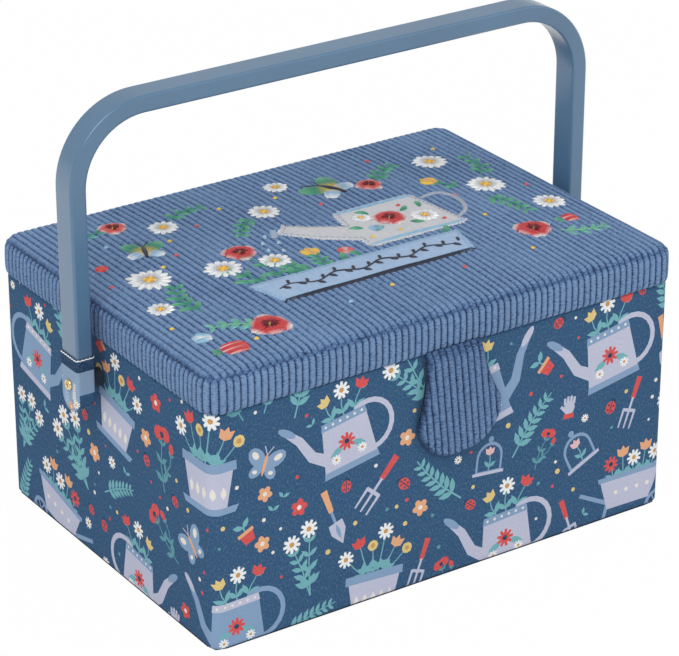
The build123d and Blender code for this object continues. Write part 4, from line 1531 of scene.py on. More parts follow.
@dataclass
class ClosingTab:
    """The ribbed tab that hangs from the lid's front edge."""

    cloth: RibbedCloth = field(default_factory=RibbedCloth)
    root_x: float = 0.5
    root_z: float = 120.7
    lean: float = 6.0
    length: float = 54.5
    neck: float = 15.5
    belly: float = 23.5
    belly_drop: float = 33.0
    front: float = -98.9
    back: float = -96.3
    roll: float = 2.2
    tuck: float = 7.0
    rise: float = 1.5
    root_y: float = -96.2

    def level(self, flat: Array, rise: float) -> Array:
        """How far the root is moved up or down, so that it ends level under the lid's edge."""
        inside = np.clip((self.belly - np.abs(flat)) / (self.belly - self.neck), 0, 1)
        return (flat * math.tan(math.radians(self.lean)) - rise) * inside

    def arc_through(self, first: Point, middle: Point, last: Point) -> list[Point]:
        """Points of the arc through three points."""
        (ax, ay), (bx, by), (cx, cy) = first, middle, last
        twice = 2 * (ax * (by - cy) + bx * (cy - ay) + cx * (ay - by))
        sums = ax * ax + ay * ay, bx * bx + by * by, cx * cx + cy * cy
        x = (sums[0] * (by - cy) + sums[1] * (cy - ay) + sums[2] * (ay - by)) / twice
        y = (sums[0] * (cx - bx) + sums[1] * (ax - cx) + sums[2] * (bx - ax)) / twice
        start, half, end = (heading((x, y), point) for point in (first, middle, last))
        end = start + ((end - start + 180) % 360 - 180)
        if not min(start, end) <= start + ((half - start + 180) % 360 - 180) <= max(start, end):
            end += 360 if end < start else -360
        return bow(x, y, math.hypot(ax - x, ay - y), start, end, 14)

    def side(self) -> list[Point]:
        """The right-hand edge from the root down to the tip, as (half width, drop)."""
        shoulder = (self.neck + 0.35 * (self.belly - self.neck), 0.55 * self.belly_drop)
        upper = self.arc_through((self.neck, 0.0), shoulder, (self.belly, self.belly_drop))
        turn = (0.72 * self.belly, self.length - 0.21 * self.belly)
        lower = self.arc_through((self.belly, self.belly_drop), turn, (0.0, self.length))
        return upper + lower[1:]

    def limits(self, width: Array) -> tuple[Array, Array]:
        """How far down the outline begins and ends at distances from its middle."""
        edge = np.array(self.side())
        upper, lower = edge[: len(edge) // 2 + 1], edge[: len(edge) // 2 - 1 : -1]
        return np.interp(width, *upper.T, left=0.0), np.interp(width, *lower.T)

    def place(self, across: Array, drop: Array, y: Array) -> Array:
        """Points of the leaning tab in the box's frame."""
        cosine, sine = math.cos(math.radians(self.lean)), math.sin(math.radians(self.lean))
        x = self.root_x + across * cosine + drop * sine
        return np.column_stack([x, y, self.root_z - drop * cosine + across * sine])

    def sheet(self) -> Piece:
        """The ribbed front."""
        ribs, rows = 13, 44
        cloth, edge = self.cloth, self.side()
        store: dict[str, Array] = {}

        def surface(across: Array, up: Array) -> Array:
            """Cuts the sheet to the tab's outline, rolls its edge and raises its wales."""
            flat = (2 * across - 1) * self.belly
            width = np.abs(flat)
            level = self.level(flat, self.rise)
            high, low = self.limits(width)
            high = high + level
            share = 1 - up
            drop = high + (low - high) * (1 - (1 - share) ** 1.35)
            near = np.full(len(flat), 99.0)
            for (x1, y1), (x2, y2) in zip(edge, edge[1:]):
                run = (x2 - x1) ** 2 + (y2 - y1) ** 2
                at = np.clip(((width - x1) * (x2 - x1) + (drop - y1) * (y2 - y1)) / run, 0, 1)
                near = np.minimum(near, np.hypot(width - x1 - at * (x2 - x1), drop - y1 - at * (y2 - y1)))
            rolled = np.clip(near / self.roll, 0, 1)
            face = self.back + (self.front - self.back) * np.sqrt(1 - (1 - rolled) ** 2)
            tucked = np.clip((drop - level) / self.tuck, 0, 1)
            face = self.root_y + (face - self.root_y) * (1 - (1 - tucked) ** 2)
            rib = across * ribs
            lift = cloth.wale(rib) * cloth.unevenness(rib, drop) * 0.85 * (0.4 + 0.6 * rolled)
            # Painted shade: the wales are darkened where the edge rolls back and at the top, tucked under
            # the lid's band.
            store["wale"] = cloth.wale(rib) * (0.35 + 0.65 * rolled) * (0.5 + 0.5 * tucked)
            dent = 0.5 * np.exp(-(((near - 3.4) / 0.7) ** 2)) * (drop > 3)
            store["flat"] = np.column_stack([flat, drop])
            return self.place(flat, drop, face - lift + dent)

        piece = Bench.grid("tab_corduroy", ribs * 9, rows, surface)
        cloth.finish(piece, store["wale"] * 0.86, store["flat"])
        return piece

    def lining(self) -> Piece:
        """The smooth cloth on the tab's back."""
        inset, back = 0.5, -95.56

        def surface(across: Array, up: Array) -> Array:
            """Cuts the sheet a little inside the outline and rolls its edge."""
            flat = (1 - 2 * across) * (self.belly - inset)
            width = np.abs(flat) + inset
            high, low = self.limits(width)
            high, low = high + self.level(flat, 0.0), low - inset
            drop = high + (low - high) * (1 - up)
            near = np.minimum(np.minimum(drop - high, low - drop), inset + self.belly - width)
            y = back - 0.7 * (1 - np.clip(near / 1.2, 0, 1)) ** 2
            return self.place(flat, drop, y)

        piece = Bench.grid("tab_back_cloth", 60, 60, surface)
        Bench.lay_cloth(piece, Bench.points(piece)[:, [0, 2]])
        return dress(piece, Finishes.DARK_CLOTH)

    def build(self) -> None:
        """Builds the tab's cloth."""
        flat = (2 * self.belly * MM, self.length * MM)
        cloths = ((self.lining(), "tab_lining", 0.0021), (self.sheet(), "tab_cover", 0.00205))
        for piece, node, area in cloths:
            cross(piece, "lid", "tab", node, (0, -0.0985, 0.1212), (0, -0.0985, 0.117))


@dataclass
class CarryHandle:
    """The moulded arch, its printed sleeves, and the rivets and spacers that it turns on."""

    middle: float = 141.75
    plane: float = 2.0
    thickness: float = 8.5
    depth: float = 14.5
    edge: float = 1.3
    bend: float = 35.75
    bar: float = 233.75
    foot: float = 96.25
    sleeve_in: float = 136.9
    sleeve_out: float = 146.6
    sleeve_depth: float = 15.7
    sleeve_low: float = 88.4
    sleeve_top: float = 117.0
    pivot: float = 102.0
    face: float = 146.7

    @property
    def axis_at(self) -> Vector:
        """A point of the axis that the handle turns on."""
        return Vector((0, self.plane, self.pivot))

    def arch(self) -> None:
        """The arch, extruded and turned from its section."""
        Bench.clear()
        foot = (-self.middle * MM, self.plane * MM, self.foot * MM)
        bpy.ops.mesh.primitive_plane_add(size=1, location=foot)
        bpy.context.object.scale = (self.thickness * MM, self.depth * MM, 1)
        piece = Bench.named("handle_moulding")
        reach, rise = self.middle - self.bend, self.bar - self.bend - self.foot
        with Bench.editing(piece):
            bpy.ops.mesh.bevel(offset=self.edge * MM, segments=3, affect="VERTICES")
            bpy.ops.mesh.select_all(action="SELECT")
            self.pull((0, 0, rise), 5)
            self.corner(-reach)
            self.pull((2 * reach, 0, 0), 9)
            self.corner(reach)
            self.pull((0, 0, -rise), 5)
        Bench.weld(piece, 0.003)
        Bench.smooth(piece, 60.0)
        Bench.modify(piece, "WEIGHTED_NORMAL", keep_sharp=True, weight=100)
        ride(dress(piece, Finishes.HANDLE), "handle", "handle_arch")

    @staticmethod
    def pull(by: tuple[float, float, float], steps: int) -> None:
        """Extrudes the selected section in steps."""
        for _ in range(steps):
            move = {"value": tuple(part * MM / steps for part in by)}
            bpy.ops.mesh.extrude_region_move(TRANSFORM_OT_translate=move)

    def corner(self, x: float) -> None:
        """Turns the selected section through a quarter about an upper corner."""
        centre = (x * MM, self.plane * MM, (self.bar - self.bend) * MM)
        bpy.ops.mesh.spin(steps=22, angle=-math.pi / 2, center=centre, axis=(0, 1, 0))

    def sleeve(self, side: int) -> None:
        """One printed sleeve, a round-ended sock over the foot of the arch."""
        half_y = self.sleeve_depth / 2
        ring = Ring((self.sleeve_out - self.sleeve_in) / 2, half_y, 1.5)
        centre = (self.sleeve_in + self.sleeve_out) / 2 * side
        round_at, arc = self.sleeve_low + half_y, math.pi / 2 * half_y
        total = arc + self.sleeve_top - round_at
        hem = total - 6.5

        def surface(at: Array, up: Array) -> Array:
            """Bends the cloth round the foot."""
            angle = np.clip(up / half_y, 0, math.pi / 2)
            flat, out = ring.walk(at)
            z = np.where(up < arc, round_at - half_y * np.cos(angle), round_at + up - arc)
            narrow = np.where(up < arc, np.sin(angle), 1.0)
            pinch = 1 - 0.10 * (1 - narrow) ** 2
            fold = 0.25 * np.clip((up - hem) / 0.8, 0, 1) * (up < total - 0.2)
            x = flat[:, 0] * pinch + out[:, 0] * fold
            y = flat[:, 1] * narrow + out[:, 1] * fold
            return np.column_stack([centre + side * x, self.plane + side * y, z])

        shapes = self.sleeve_shapes(side, ring, total, hem)
        marks = {round(at, 4) for at in ring.stops} | set(np.linspace(0, ring.length, 40).round(4).tolist())
        lines = [*(at for at in sorted(marks) if at < ring.length - 0.01), ring.length]
        up_lines = [*np.linspace(0, arc, 12), *np.linspace(arc, hem, 5)[1:]]
        up_lines += [total - back for back in (6.1, 5.7, 3, 0.25, 0)]
        panel = PrintedPanel(Ink.NAVY, shapes, surface, lines, up_lines)
        piece = PrintedPanel.sew(f"sleeve_print_{hand(side)}", [panel])
        Bench.weld(piece, 0.01)
        dress(piece, Finishes.PRINT)
        flat = (ring.length * MM, total * MM)
        ride(piece, "handle", f"handle_sleeve_{hand(side)}")

    def sleeve_shapes(self, side: int, ring: Ring, total: float, hem: float) -> list[Shape]:
        """The print of one sleeve: pale panels with sprigs, and a dark stitched hem.

        Args:
            side: 1 for the right and -1 for the left.
            ring: the way round the sleeve.
            total: the cloth's height.
            hem: where its hem begins.

        Returns:
            The shapes, the later ones on top.
        """
        prints = GardenPrint(11 + side)
        stops, half = ring.stops, 0.45 * total
        face = (stops[6] + 0.6, stops[8] + 0.8) if side > 0 else (stops[7] - 0.8, ring.length + 0.6)
        front = (stops[5] - 0.9, face[0]) if side > 0 else (face[1], ring.length + stops[2] + 0.9)
        drawing = Motif()
        for (left, right), low in ((face, 2), (front, half)):
            drawing.add(Ink.MIST, [(left, low), (right, low), (right, hem), (left, hem)])
        middle, back = sum(face) / 2, ring.length / 2
        for motif, x, y, size in (
            (prints.fern(Ink.PALE_BLUE), middle - 3.0, 12.0, 0.55),
            (prints.fern(Ink.CREAM), middle + 4.0, 15.0, 0.4),
            (prints.blossom(Ink.PEACH), middle + 1.0, 6.5, 0.8),
            (Motif().daisy(0, 0, 2.6), middle + 5.5, 9.5, 1.0),
            (prints.fern(), back, 12.0, 0.75),
            (Motif().daisy(0, 0, 3.2), back + 7.0, 20.0, 1.0),
        ):
            drawing.shapes += motif.placed(x, y, 12.0, size).shapes
        low, high, top = -ring.length, 2 * ring.length, total + 2
        drawing.add(Ink.DEEP_NAVY, [(low, hem), (high, hem), (high, top), (low, top)])
        for at in np.arange(front[0] - 3.0, front[1] + 1.0, 1.6):
            drawing.add(Ink.WHITE, strip([(at, 5.0), (at + 1.0, 5.0)], 0.5))
        shapes: list[Shape] = []
        for turn in (0.0, -ring.length):
            shapes += [(ink, [(x + turn, y) for x, y in line]) for ink, line in drawing.shapes]
        run = np.arange(-2.0, ring.length + 2, 0.7)
        edge = [(at, total - 0.45 + 0.2 * math.sin(3.1 * at)) for at in run]
        return [*shapes, (Ink.WHITE, strip(edge, 0.55))]

    def rivet(self, side: int) -> None:
        """One tubular brass rivet with a rolled rim and a hollow middle."""
        profile = [(125.7, 0.0), (125.7, 5.0), (126.9, 5.0), (126.9, 1.4)]
        rim = ((0.0, 1.4), (0.0, 2.4), (0.3, 2.65), (0.8, 2.55), (1.25, 2.15), (1.4, 1.7), (1.25, 1.3))
        bore = ((0.7, 1.1), (-4.0, 1.0), (-4.1, 0.0))
        profile += [(self.face + proud, radius) for proud, radius in (*rim, *bore)]
        piece = Bench.lathe(f"brass_rivet_{hand(side)}", profile, side, self.axis_at)
        ride(dress(piece, Finishes.BRASS), "handle_pivots", f"rivet_{hand(side)}")

    def spacer(self, side: int) -> None:
        """One turned spacer between the handle and the box."""
        profile = [(130.4, 1.5), (130.4, 4.0), (130.8, 4.5), (136.1, 4.5), (136.5, 4.0), (136.5, 1.5)]
        piece = Bench.lathe(f"turned_spacer_{hand(side)}", profile, side, self.axis_at)
        # Its dark colour partly stands in for the shade in the gap between the handle and the wall.
        ride(dress(piece, Finishes.SPACER), "handle_pivots", f"spacer_{hand(side)}")

    def build(self) -> None:
        """Builds the handle."""
        self.arch()
        for side in (-1, 1):
            self.sleeve(side)
            self.rivet(side)
            self.spacer(side)


GREENS = (Ink.EMERALD, Ink.MINT)
PALE_GREENS = (Ink.MINT, Ink.PALE_TEAL)


class Needlework:
    """Satin stitches, stems, knots and loose fibres sewn on a surface and gathered into one piece."""

    def __init__(self, ground: Surface, seed: int) -> None:
        """Starts with nothing sewn.

        Args:
            ground: the height of the surface at flat places, in millimetres.
            seed: the start of the uneven stitch lengths.
        """
        self.ground = ground
        self.random = np.random.default_rng(seed)
        self.points: list[Array] = []
        self.flat: list[Array] = []
        self.faces: list[Array] = []
        self.inks: list[Array] = []
        self.count = 0

    def satin(
        self,
        spine: Sequence[Point],
        widths: Sequence[float],
        inks: Sequence[Ink],
        rise: float = 0.75,
        strand: float = 0.5,
        lobes: int = 1,
        ragged: float = 0.0,
    ) -> None:
        """Sews a shape of strands that run along a line.

        Args:
            spine: the line's points.
            widths: the shape's width at even steps along the line.
            inks: the colours from its foot to its tip.
            rise: how high the stitches stand.
            strand: the width of one strand.
            lobes: 2 for a leaf with a vein.
            ragged: how uneven the ends are.
        """
        length = run_of(spine)[-1]
        rows = max(4, int(length / (1.1 if length < 16 else 1.6)))
        strands = max(2, int(round(max(widths) / strand)))
        columns = 2 * strands if strands > 2 else 4
        share = np.linspace(0, 1, rows + 1)
        offsets = np.repeat(self.random.uniform(-ragged, ragged, columns // 2 + 1), 2)[: columns + 1]
        side = np.linspace(-1, 1, columns + 1)
        at = np.clip(share[:, None] + offsets[None, :] / length * (share[:, None] ** 3), 0, None)
        centre = along(spine, (np.clip(at, 0, 1) * length).ravel()).reshape(rows + 1, columns + 1, 2)
        onward = np.subtract(*np.array(spine, dtype=float)[[-1, -2]])
        centre += (np.clip(at - 1, 0, None) * length)[..., None] * (onward / np.hypot(*onward))
        steps = (along(spine, np.clip(share * length + step, 0, length)) for step in (0.4, -0.4))
        ahead = np.subtract(*steps)
        ahead /= np.hypot(*ahead.T)[:, None]
        across = np.stack([-ahead[:, 1], ahead[:, 0]], axis=1)
        half = 0.5 * np.interp(share, np.linspace(0, 1, len(widths)), widths)
        spot = centre + across[:, None, :] * (half[:, None] * side[None, :])[..., None]
        if lobes == 2:
            dome = np.sqrt(np.clip(1 - (2 * np.abs(side) - 1) ** 2, 0, 1)) * 0.85 + 0.15 * (1 - np.abs(side))
        else:
            dome = np.sqrt(1 - side**2)
        ends = np.sqrt(np.clip(np.sin(math.pi * np.clip(share, 0.012, 0.988)), 0, 1))
        ridge = 0.10 * np.where(np.arange(columns + 1) % 2 == 0, -1.0, 1.0) if strands > 2 else 0.0
        lift = rise * dome[None, :] * ends[:, None] + ridge * ends[:, None] - 0.2 * min(1.0, max(widths) / 4)
        flat = spot.reshape(-1, 2)
        height = self.ground(flat[:, 0], flat[:, 1]) + lift.ravel()
        self.points.append(np.column_stack([flat, height]))
        cloth = np.broadcast_arrays(share[:, None] * length, side[None, :] * max(widths) / 2)
        self.flat.append(np.stack(cloth, axis=2).reshape(-1, 2))
        first = (self.count + np.arange(rows)[:, None] * (columns + 1) + np.arange(columns)[None, :]).ravel()
        self.faces.append(np.stack([first, first + columns + 1, first + columns + 2, first + 1], axis=1))
        colours = np.array([ink.linear for ink in inks])
        places = np.linspace(0, 1, len(inks))
        middle = (share[:-1] + share[1:]) / 2
        mixed = np.stack([np.interp(middle, places, colours[:, k]) for k in range(4)], axis=1)
        shades = 1 + self.random.uniform(-0.13, 0.13, columns)
        block = mixed[:, None, :] * np.ones((1, columns, 1))
        block[..., :3] *= shades[None, :, None]
        self.inks.append(block.reshape(-1, 4))
        self.count += (rows + 1) * (columns + 1)

    def petal(self, x: float, y: float, length: float, width: float, turn: float, *inks: Ink) -> None:
        """Sews one rounded petal from its foot."""
        widths = [share * width for share in (0.45, 0.85, 1.0, 0.95, 0.4)]
        self.satin([(x, y), polar(x, y, length, turn)], widths, inks, ragged=0.35)

    def leaf(
        self,
        x: float,
        y: float,
        length: float,
        turn: float,
        inks: Sequence[Ink] = GREENS,
        width: float = 0.0,
    ) -> None:
        """Sews one leaf with a vein, curved a little."""
        width = width or 0.42 * length
        middle = polar(x, y, 0.5 * length, turn - 6)
        tip = polar(*middle, 0.5 * length, turn + 12)
        widths = [share * width for share in (0.12, 0.8, 1.0, 0.75, 0.1)]
        self.satin([(x, y), middle, tip], widths, inks, 0.7, lobes=2, ragged=0.1)

    def stem(self, points: Sequence[Point], ink: Ink, width: float = 0.9) -> None:
        """Sews a stem."""
        self.satin(smooth_line(points, 3), [width, width], [ink], 0.5, width / 2)

    def knot(self, x: float, y: float, radius: float, ink: Ink) -> None:
        """Sews one raised knot."""
        self.satin([(x - radius, y), (x + radius, y)], [radius, 2 * radius, radius], [ink], 0.9, radius)

    def daisy(self, x: float, y: float, size: float, petals: int = 13, ink: Ink = Ink.WHITE) -> None:
        """Sews a daisy with a centre of knots."""
        start = self.random.uniform(0, 30)
        for index in range(petals):
            turn = start + 360 * index / petals
            foot = polar(x, y, 0.24 * size, turn)
            reach = 0.78 * size * self.random.uniform(0.9, 1.06)
            self.petal(*foot, reach, 4.4 * size / petals, turn, Ink.THREAD_GREY, ink, ink)
        self.heart(x, y, 0.27 * size, Ink.YELLOW, Ink.TAN)

    def heart(self, x: float, y: float, radius: float, ink: Ink, rim: Ink) -> None:
        """Sews a flower's centre as a ring of knots round one more."""
        self.knot(x, y, 0.62 * radius, ink)
        for index in range(8):
            spot = polar(x, y, 0.78 * radius, 45 * index)
            self.knot(*spot, 0.42 * radius, ink if index % 2 else rim)

    def poppy(self, x: float, y: float, size: float, turn: float = 0.0, ink: Ink = Ink.RED) -> None:
        """Sews an open poppy."""
        for layer, reach in ((0, 1.0), (1, 0.86)):
            for index in range(3):
                way = turn + 120 * index + 60 * layer
                foot = polar(x, y, 0.08 * size, way)
                inks = [Ink.DARK_RED, ink, ink, Ink.BLUSH if layer else Ink.WHITE]
                widths = [share * size for share in (0.3, 0.85, 1.0, 0.85, 0.4)]
                spine = [foot, polar(x, y, reach * size, way)]
                self.satin(spine, widths, inks, 0.75 + 0.35 * layer, ragged=0.6)
        for index in range(14):
            way = turn + 360 * index / 14 + self.random.uniform(-7, 7)
            reach = size * self.random.uniform(0.34, 0.62)
            self.satin([(x, y), polar(x, y, reach, way)], [0.3, 0.45, 0.3], [Ink.DARK_RED], 1.5, 0.3)
        self.heart(x, y, 0.2 * size, Ink.YELLOW, Ink.THREAD_BLACK)

    def tulip(self, x: float, y: float, size: float, turn: float, ink: Ink, inner: Ink) -> None:
        """Sews a tulip that opens along a direction."""
        for spread, reach in ((26, 0.95), (-26, 0.95), (0, 1.05)):
            shades = (inner, ink, ink) if spread else (ink, inner, ink)
            self.petal(x, y, reach * size, 0.55 * size, turn + spread, *shades)

    def sprig(self, points: Sequence[Point], leaves: int, size: float, inks: Sequence[Ink] = GREENS) -> None:
        """Sews a stem with leaves in pairs."""
        fine = smooth_line(points, 3)
        length = run_of(fine)[-1]
        self.stem(points, inks[0])
        for index in range(leaves):
            at = length * (0.15 + 0.8 * index / max(1, leaves - 1))
            back, spot, ahead = along(fine, np.array([max(0.0, at - 0.8), at, min(at + 0.8, length)]))
            for side in (1, -1):
                grown = size * (1.0 - 0.3 * index / max(1, leaves - 1))
                self.leaf(*spot, grown, heading(back, ahead) + side * 50, inks)

    def butterfly(self, x: float, y: float, size: float, turn: float) -> None:
        """Sews a butterfly."""
        for side in (1, -1):
            for way, reach, width, inks in (
                (42, 1.0, 0.62, (Ink.YELLOW, Ink.EMERALD, Ink.MINT)),
                (118, 0.72, 0.5, (Ink.YELLOW, Ink.SKY, Ink.WHITE)),
            ):
                tip = polar(x, y, reach * size, turn + side * way)
                widths = [0.15 * size, 0.5 * size, width * size, 0.9 * width * size, 0.3 * size]
                self.satin([(x, y), tip], widths, inks, 0.8, ragged=0.3)
            feeler = [polar(x, y, 0.4 * size, turn), polar(x, y, 0.95 * size, turn + side * 16)]
            self.stem(feeler, Ink.THREAD_BLACK, 0.5)
        body = [polar(x, y, -0.5 * size, turn), polar(x, y, 0.5 * size, turn)]
        self.satin(body, [0.08 * size, 0.2 * size, 0.16 * size], [Ink.THREAD_BLACK], 1.2, 0.4, ragged=0.35)

    def running(self, points: Sequence[Point], ink: Ink, stitch: float, gap: float) -> None:
        """Sews single stitches along a line."""
        walked = run_of(points)[-1]
        at = 0.0
        while at + stitch < walked:
            first, last = along(points, np.array([at, at + stitch]))
            self.satin([first, last], [0.5, 0.6, 0.5], [ink], 0.5, 0.3)
            at += stitch + gap

    def frays(self, points: Sequence[Point], ink: Ink, spacing: float, reach: float) -> None:
        """Leaves short loose fibres along an edge."""
        walked = run_of(points)[-1]
        for at in np.arange(0, walked, spacing):
            spot, ahead = along(points, np.array([at, min(at + 0.5, walked)]))
            way = heading(spot, ahead) - 90 + self.random.uniform(-55, 55)
            tip = polar(*spot, reach * self.random.uniform(0.4, 1.0), way)
            self.satin([spot, tip], [0.28, 0.22], [ink], 0.25, 0.3)

    def piece(self, name: str) -> Piece:
        """Ends the sewing.

        Args:
            name: the piece's name.

        Returns:
            All that was sewn, as one piece.
        """
        piece = Bench.meshed(name, np.vstack(self.points), np.vstack(self.faces)[:, ::-1].tolist())
        Bench.lay_cloth(piece, np.vstack(self.flat))
        Bench.paint(piece, np.repeat(np.vstack(self.inks), 4, axis=0))
        return dress(piece, Finishes.THREAD)


@dataclass
class LidPicture:
    """The picture on the lid: a linen can and a chambray planter sewn on, with flowers round them."""

    lid: LidCloth
    planter_low: float = -50.0
    planter_high: float = -28.0
    planter_left: float = -67.0
    planter_right: float = 51.0
    flare: float = 5.0
    can_left: float = 6.0
    can_right: float = 62.0
    can_low: float = -22.0
    can_high: float = 20.0

    def ground(self, x: Array, y: Array) -> Array:
        """The height of the wales' tops."""
        return self.lid.height(x, y) + 0.72

    def cloth_height(self, x: Array, y: Array) -> Array:
        """The height of the sewn-on cloth."""
        share = (x + self.lid.top.half_x) / self.lid.cloth.pitch
        ripple = 0.10 * np.sin(x / 7.0 + y / 11.0) + 0.08 * np.sin(y / 5.0 - x / 13.0)
        return self.ground(x, y) + 0.40 + 0.16 * self.lid.cloth.wale(share) + ripple

    def on_patch(self, x: Array, y: Array) -> Array:
        """The height of the sewn-on cloth, or of the wales where there is none."""
        covered = np.zeros(len(x), dtype=bool)
        for outline in (self.planter_outline(), self.can_outline()):
            covered |= Clearings.inside(np.array(outline), x, y)
        return np.where(covered, self.cloth_height(x, y) + 0.16, self.ground(x, y) + 0.05)

    def planter_outline(self) -> Outline:
        """The planter, wider at its top."""
        left, right, low, high = self.planter_left, self.planter_right, self.planter_low, self.planter_high
        return [(left + self.flare, low), (right - self.flare, low), (right, high), (left, high)]

    def can_outline(self) -> Outline:
        """The can's body and spout."""
        left, right, low, high = self.can_left, self.can_right, self.can_low, self.can_high
        foot = [(left, low + 1), (left + 1.4, low), (right - 1.4, low), (right, low + 1)]
        brim = [(right - 5, high - 1), (right - 8, high + 0.6)]
        brim += [(left + 9, high + 0.6), (left + 5.4, high - 1)]
        spout = ((2.6, 25.5), (-12, 34.5), (-22.5, 43.5), (-29, 37), (-17, 22), (0.4, 9))
        return [*foot, *brim, *((left + x, low + y) for x, y in spout)]

    def cloth_piece(self, name: str, outline: Outline, finish: Finish, node: str) -> Piece:
        """Cuts one piece of cloth, lays it over the wales and turns its edge down.

        Args:
            name: the piece's name.
            outline: its corners.
            finish: its cloth.
            node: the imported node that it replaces.

        Returns:
            The piece.
        """
        (left, low), (right, high) = np.min(outline, axis=0), np.max(outline, axis=0)

        def surface(x: Array, y: Array) -> Array:
            """Lays the cloth over the wales."""
            return np.column_stack([x, y, self.cloth_height(x, y)])

        columns = np.arange(left, right + 0.9, 0.9)
        rows = np.linspace(low, high, int((high - low) / 2.5) + 2)
        panel = PrintedPanel(Ink.WHITE, [(Ink.CREAM, outline)], surface, columns, rows)
        panel.cut()
        keep = [triangle for triangle, ink in zip(panel.triangles, panel.inks) if ink is Ink.CREAM]
        piece = Bench.meshed(name, surface(*np.array(panel.corners).T), keep)
        with Bench.editing(piece):
            bpy.ops.mesh.delete_loose()
            bpy.ops.mesh.select_all(action="SELECT")
            bpy.ops.mesh.region_to_loop()
            bpy.ops.mesh.extrude_region_move(TRANSFORM_OT_translate={"value": (0, 0, -0.7 * MM)})
        Bench.lay_cloth(piece, Bench.points(piece))
        dress(piece, finish)
        return ride(piece, "lid", node)

    def edges(self) -> None:
        """Sews the cloth down, with loose fibres at its edges and a dark line under the planter."""
        work = Needlework(self.on_patch, 3)
        for outline, ink in ((self.planter_outline(), Ink.SKY), (self.can_outline(), Ink.THREAD_GREY)):
            closed = [*outline, outline[0]]
            middle = np.mean(np.array(outline), axis=0)
            inner = [tuple(np.array(point) + 1.2 * np.sign(middle - np.array(point))) for point in closed]
            work.running(inner, ink, 1.9, 0.9)
            work.frays(closed, Ink.WHITE if ink is Ink.THREAD_GREY else ink, 0.9, 1.5)
        xs = np.linspace(self.planter_left + self.flare, self.planter_right - self.flare, 30)
        work.satin([(x, self.planter_low - 0.2) for x in xs], [1.9, 1.9], [Ink.THREAD_BLACK], 0.7, 0.5)
        self.vine(work)
        self.can_trim(work)
        ride(work.piece("edge_stitching"), "lid")

    def vine(self, work: Needlework) -> None:
        """Sews a black waved vine along the planter."""
        left, right = self.planter_left + 10, self.planter_right - 10

        def wave(x: float) -> Point:
            """A point of the vine."""
            return x, (self.planter_low + self.planter_high) / 2 + 2.2 * math.sin((x - left) / 4.1)

        work.stem([wave(x) for x in np.linspace(left, right, 60)], Ink.THREAD_BLACK, 0.9)
        for index in range(24):
            turn = 70 if index % 2 else -54
            work.leaf(*wave(left + 2 + 4.1 * math.pi / 3 * index), 4.6, turn, [Ink.THREAD_BLACK], width=1.7)

    def can_trim(self, work: Needlework) -> None:
        """Sews the can's brim, foot, handle and rose, and the flowers on it."""
        left, right, low, high = self.can_left, self.can_right, self.can_low, self.can_high
        for inset, y in ((5, high - 1.4), (1, low + 1.6)):
            work.satin([(left + inset, y), (right - inset, y)], [2.2, 2.2], [Ink.SKY], 0.6, 0.5)
        bends = [(right - 3, high - 6), (right + 9, high - 3), (right + 14, high - 14)]
        loop = smooth_line([*bends, (right + 10, low + 13), (right - 0.5, low + 7)], 4)
        work.satin(loop, [2.2, 2.4, 2.2], [Ink.THREAD_GREY], 0.8, 0.45)
        rose = [polar(left - 26.5, low + 40.5, 3.2, 135), polar(left - 26.5, low + 40.5, 9.0, 225)]
        work.satin(rose, [3.4, 3.4], [Ink.SKY, Ink.THREAD_GREY], 0.9, 0.45, ragged=0.35)
        for x, y, size in ((-31, 14, 4.6), (-36, 8, 4.2), (-29, 5, 4.0), (-38, 0, 3.8), (-32, -4, 3.6)):
            drop = [(x + 0.3 * size, y + 0.8 * size), (x, y)]
            work.satin(drop, [0.3, 1.4, 2.2, 1.4], [Ink.WHITE, Ink.SKY], 0.8, 0.45, ragged=0.35)
        work.poppy(32, 1, 9.0, 40)
        work.daisy(48, -6, 6.6, 12)
        work.tulip(18, -9, 7.0, 62, Ink.SKY, Ink.CHAMBRAY)
        work.daisy(20, 8, 4.6, 11)
        leaves = ((24, -6, 205), (38, -8, -35), (41, 5, 28), (26, 10, 130), (52, 4, 72), (14, -3, 150))
        for x, y, turn in leaves:
            work.leaf(x, y, 7.4, turn)
        for index, (x, y) in enumerate(((12, -14), (54, -14), (28, -14), (44, 11))):
            work.knot(x, y, 1.1, Ink.CORAL if index % 2 else Ink.YELLOW)

    def flowers(self) -> None:
        """Sews the flowers over the planter and round the can."""
        work = Needlework(self.on_patch, 5)
        top = self.planter_high
        stems = ((-58, -66, -6, 8.0), (-49, -50, 4, 7.4), (-38, -41, -11, 8.0), (-25, -22, -13, 7.0))
        for foot, x, y, size in stems:
            work.sprig([(foot, top - 1), ((foot + x) / 2 + 1.5, (top + y) / 2), (x, y - 3)], 3, size)
        work.daisy(-66, -4, 9.4)
        work.poppy(-50, 7, 9.0, 20)
        work.daisy(-41, -10, 7.8, 12)
        work.tulip(-22, -15, 9.0, 84, Ink.YELLOW, Ink.PEACH)
        work.tulip(-8, -22, 8.0, 70, Ink.CORAL, Ink.BLUSH)
        leaves = [(-3, -27, 120), (-14, -27, 60), (-32, -27, 118), (-43, -27, 62)]
        for x, y, turn in (*leaves, (-63, -25, 140), (44, -27, 40)):
            work.leaf(x, y, 9.0, turn)
        self.left_group(work)
        self.right_group(work)
        ride(work.piece("lid_embroidery"), "lid")

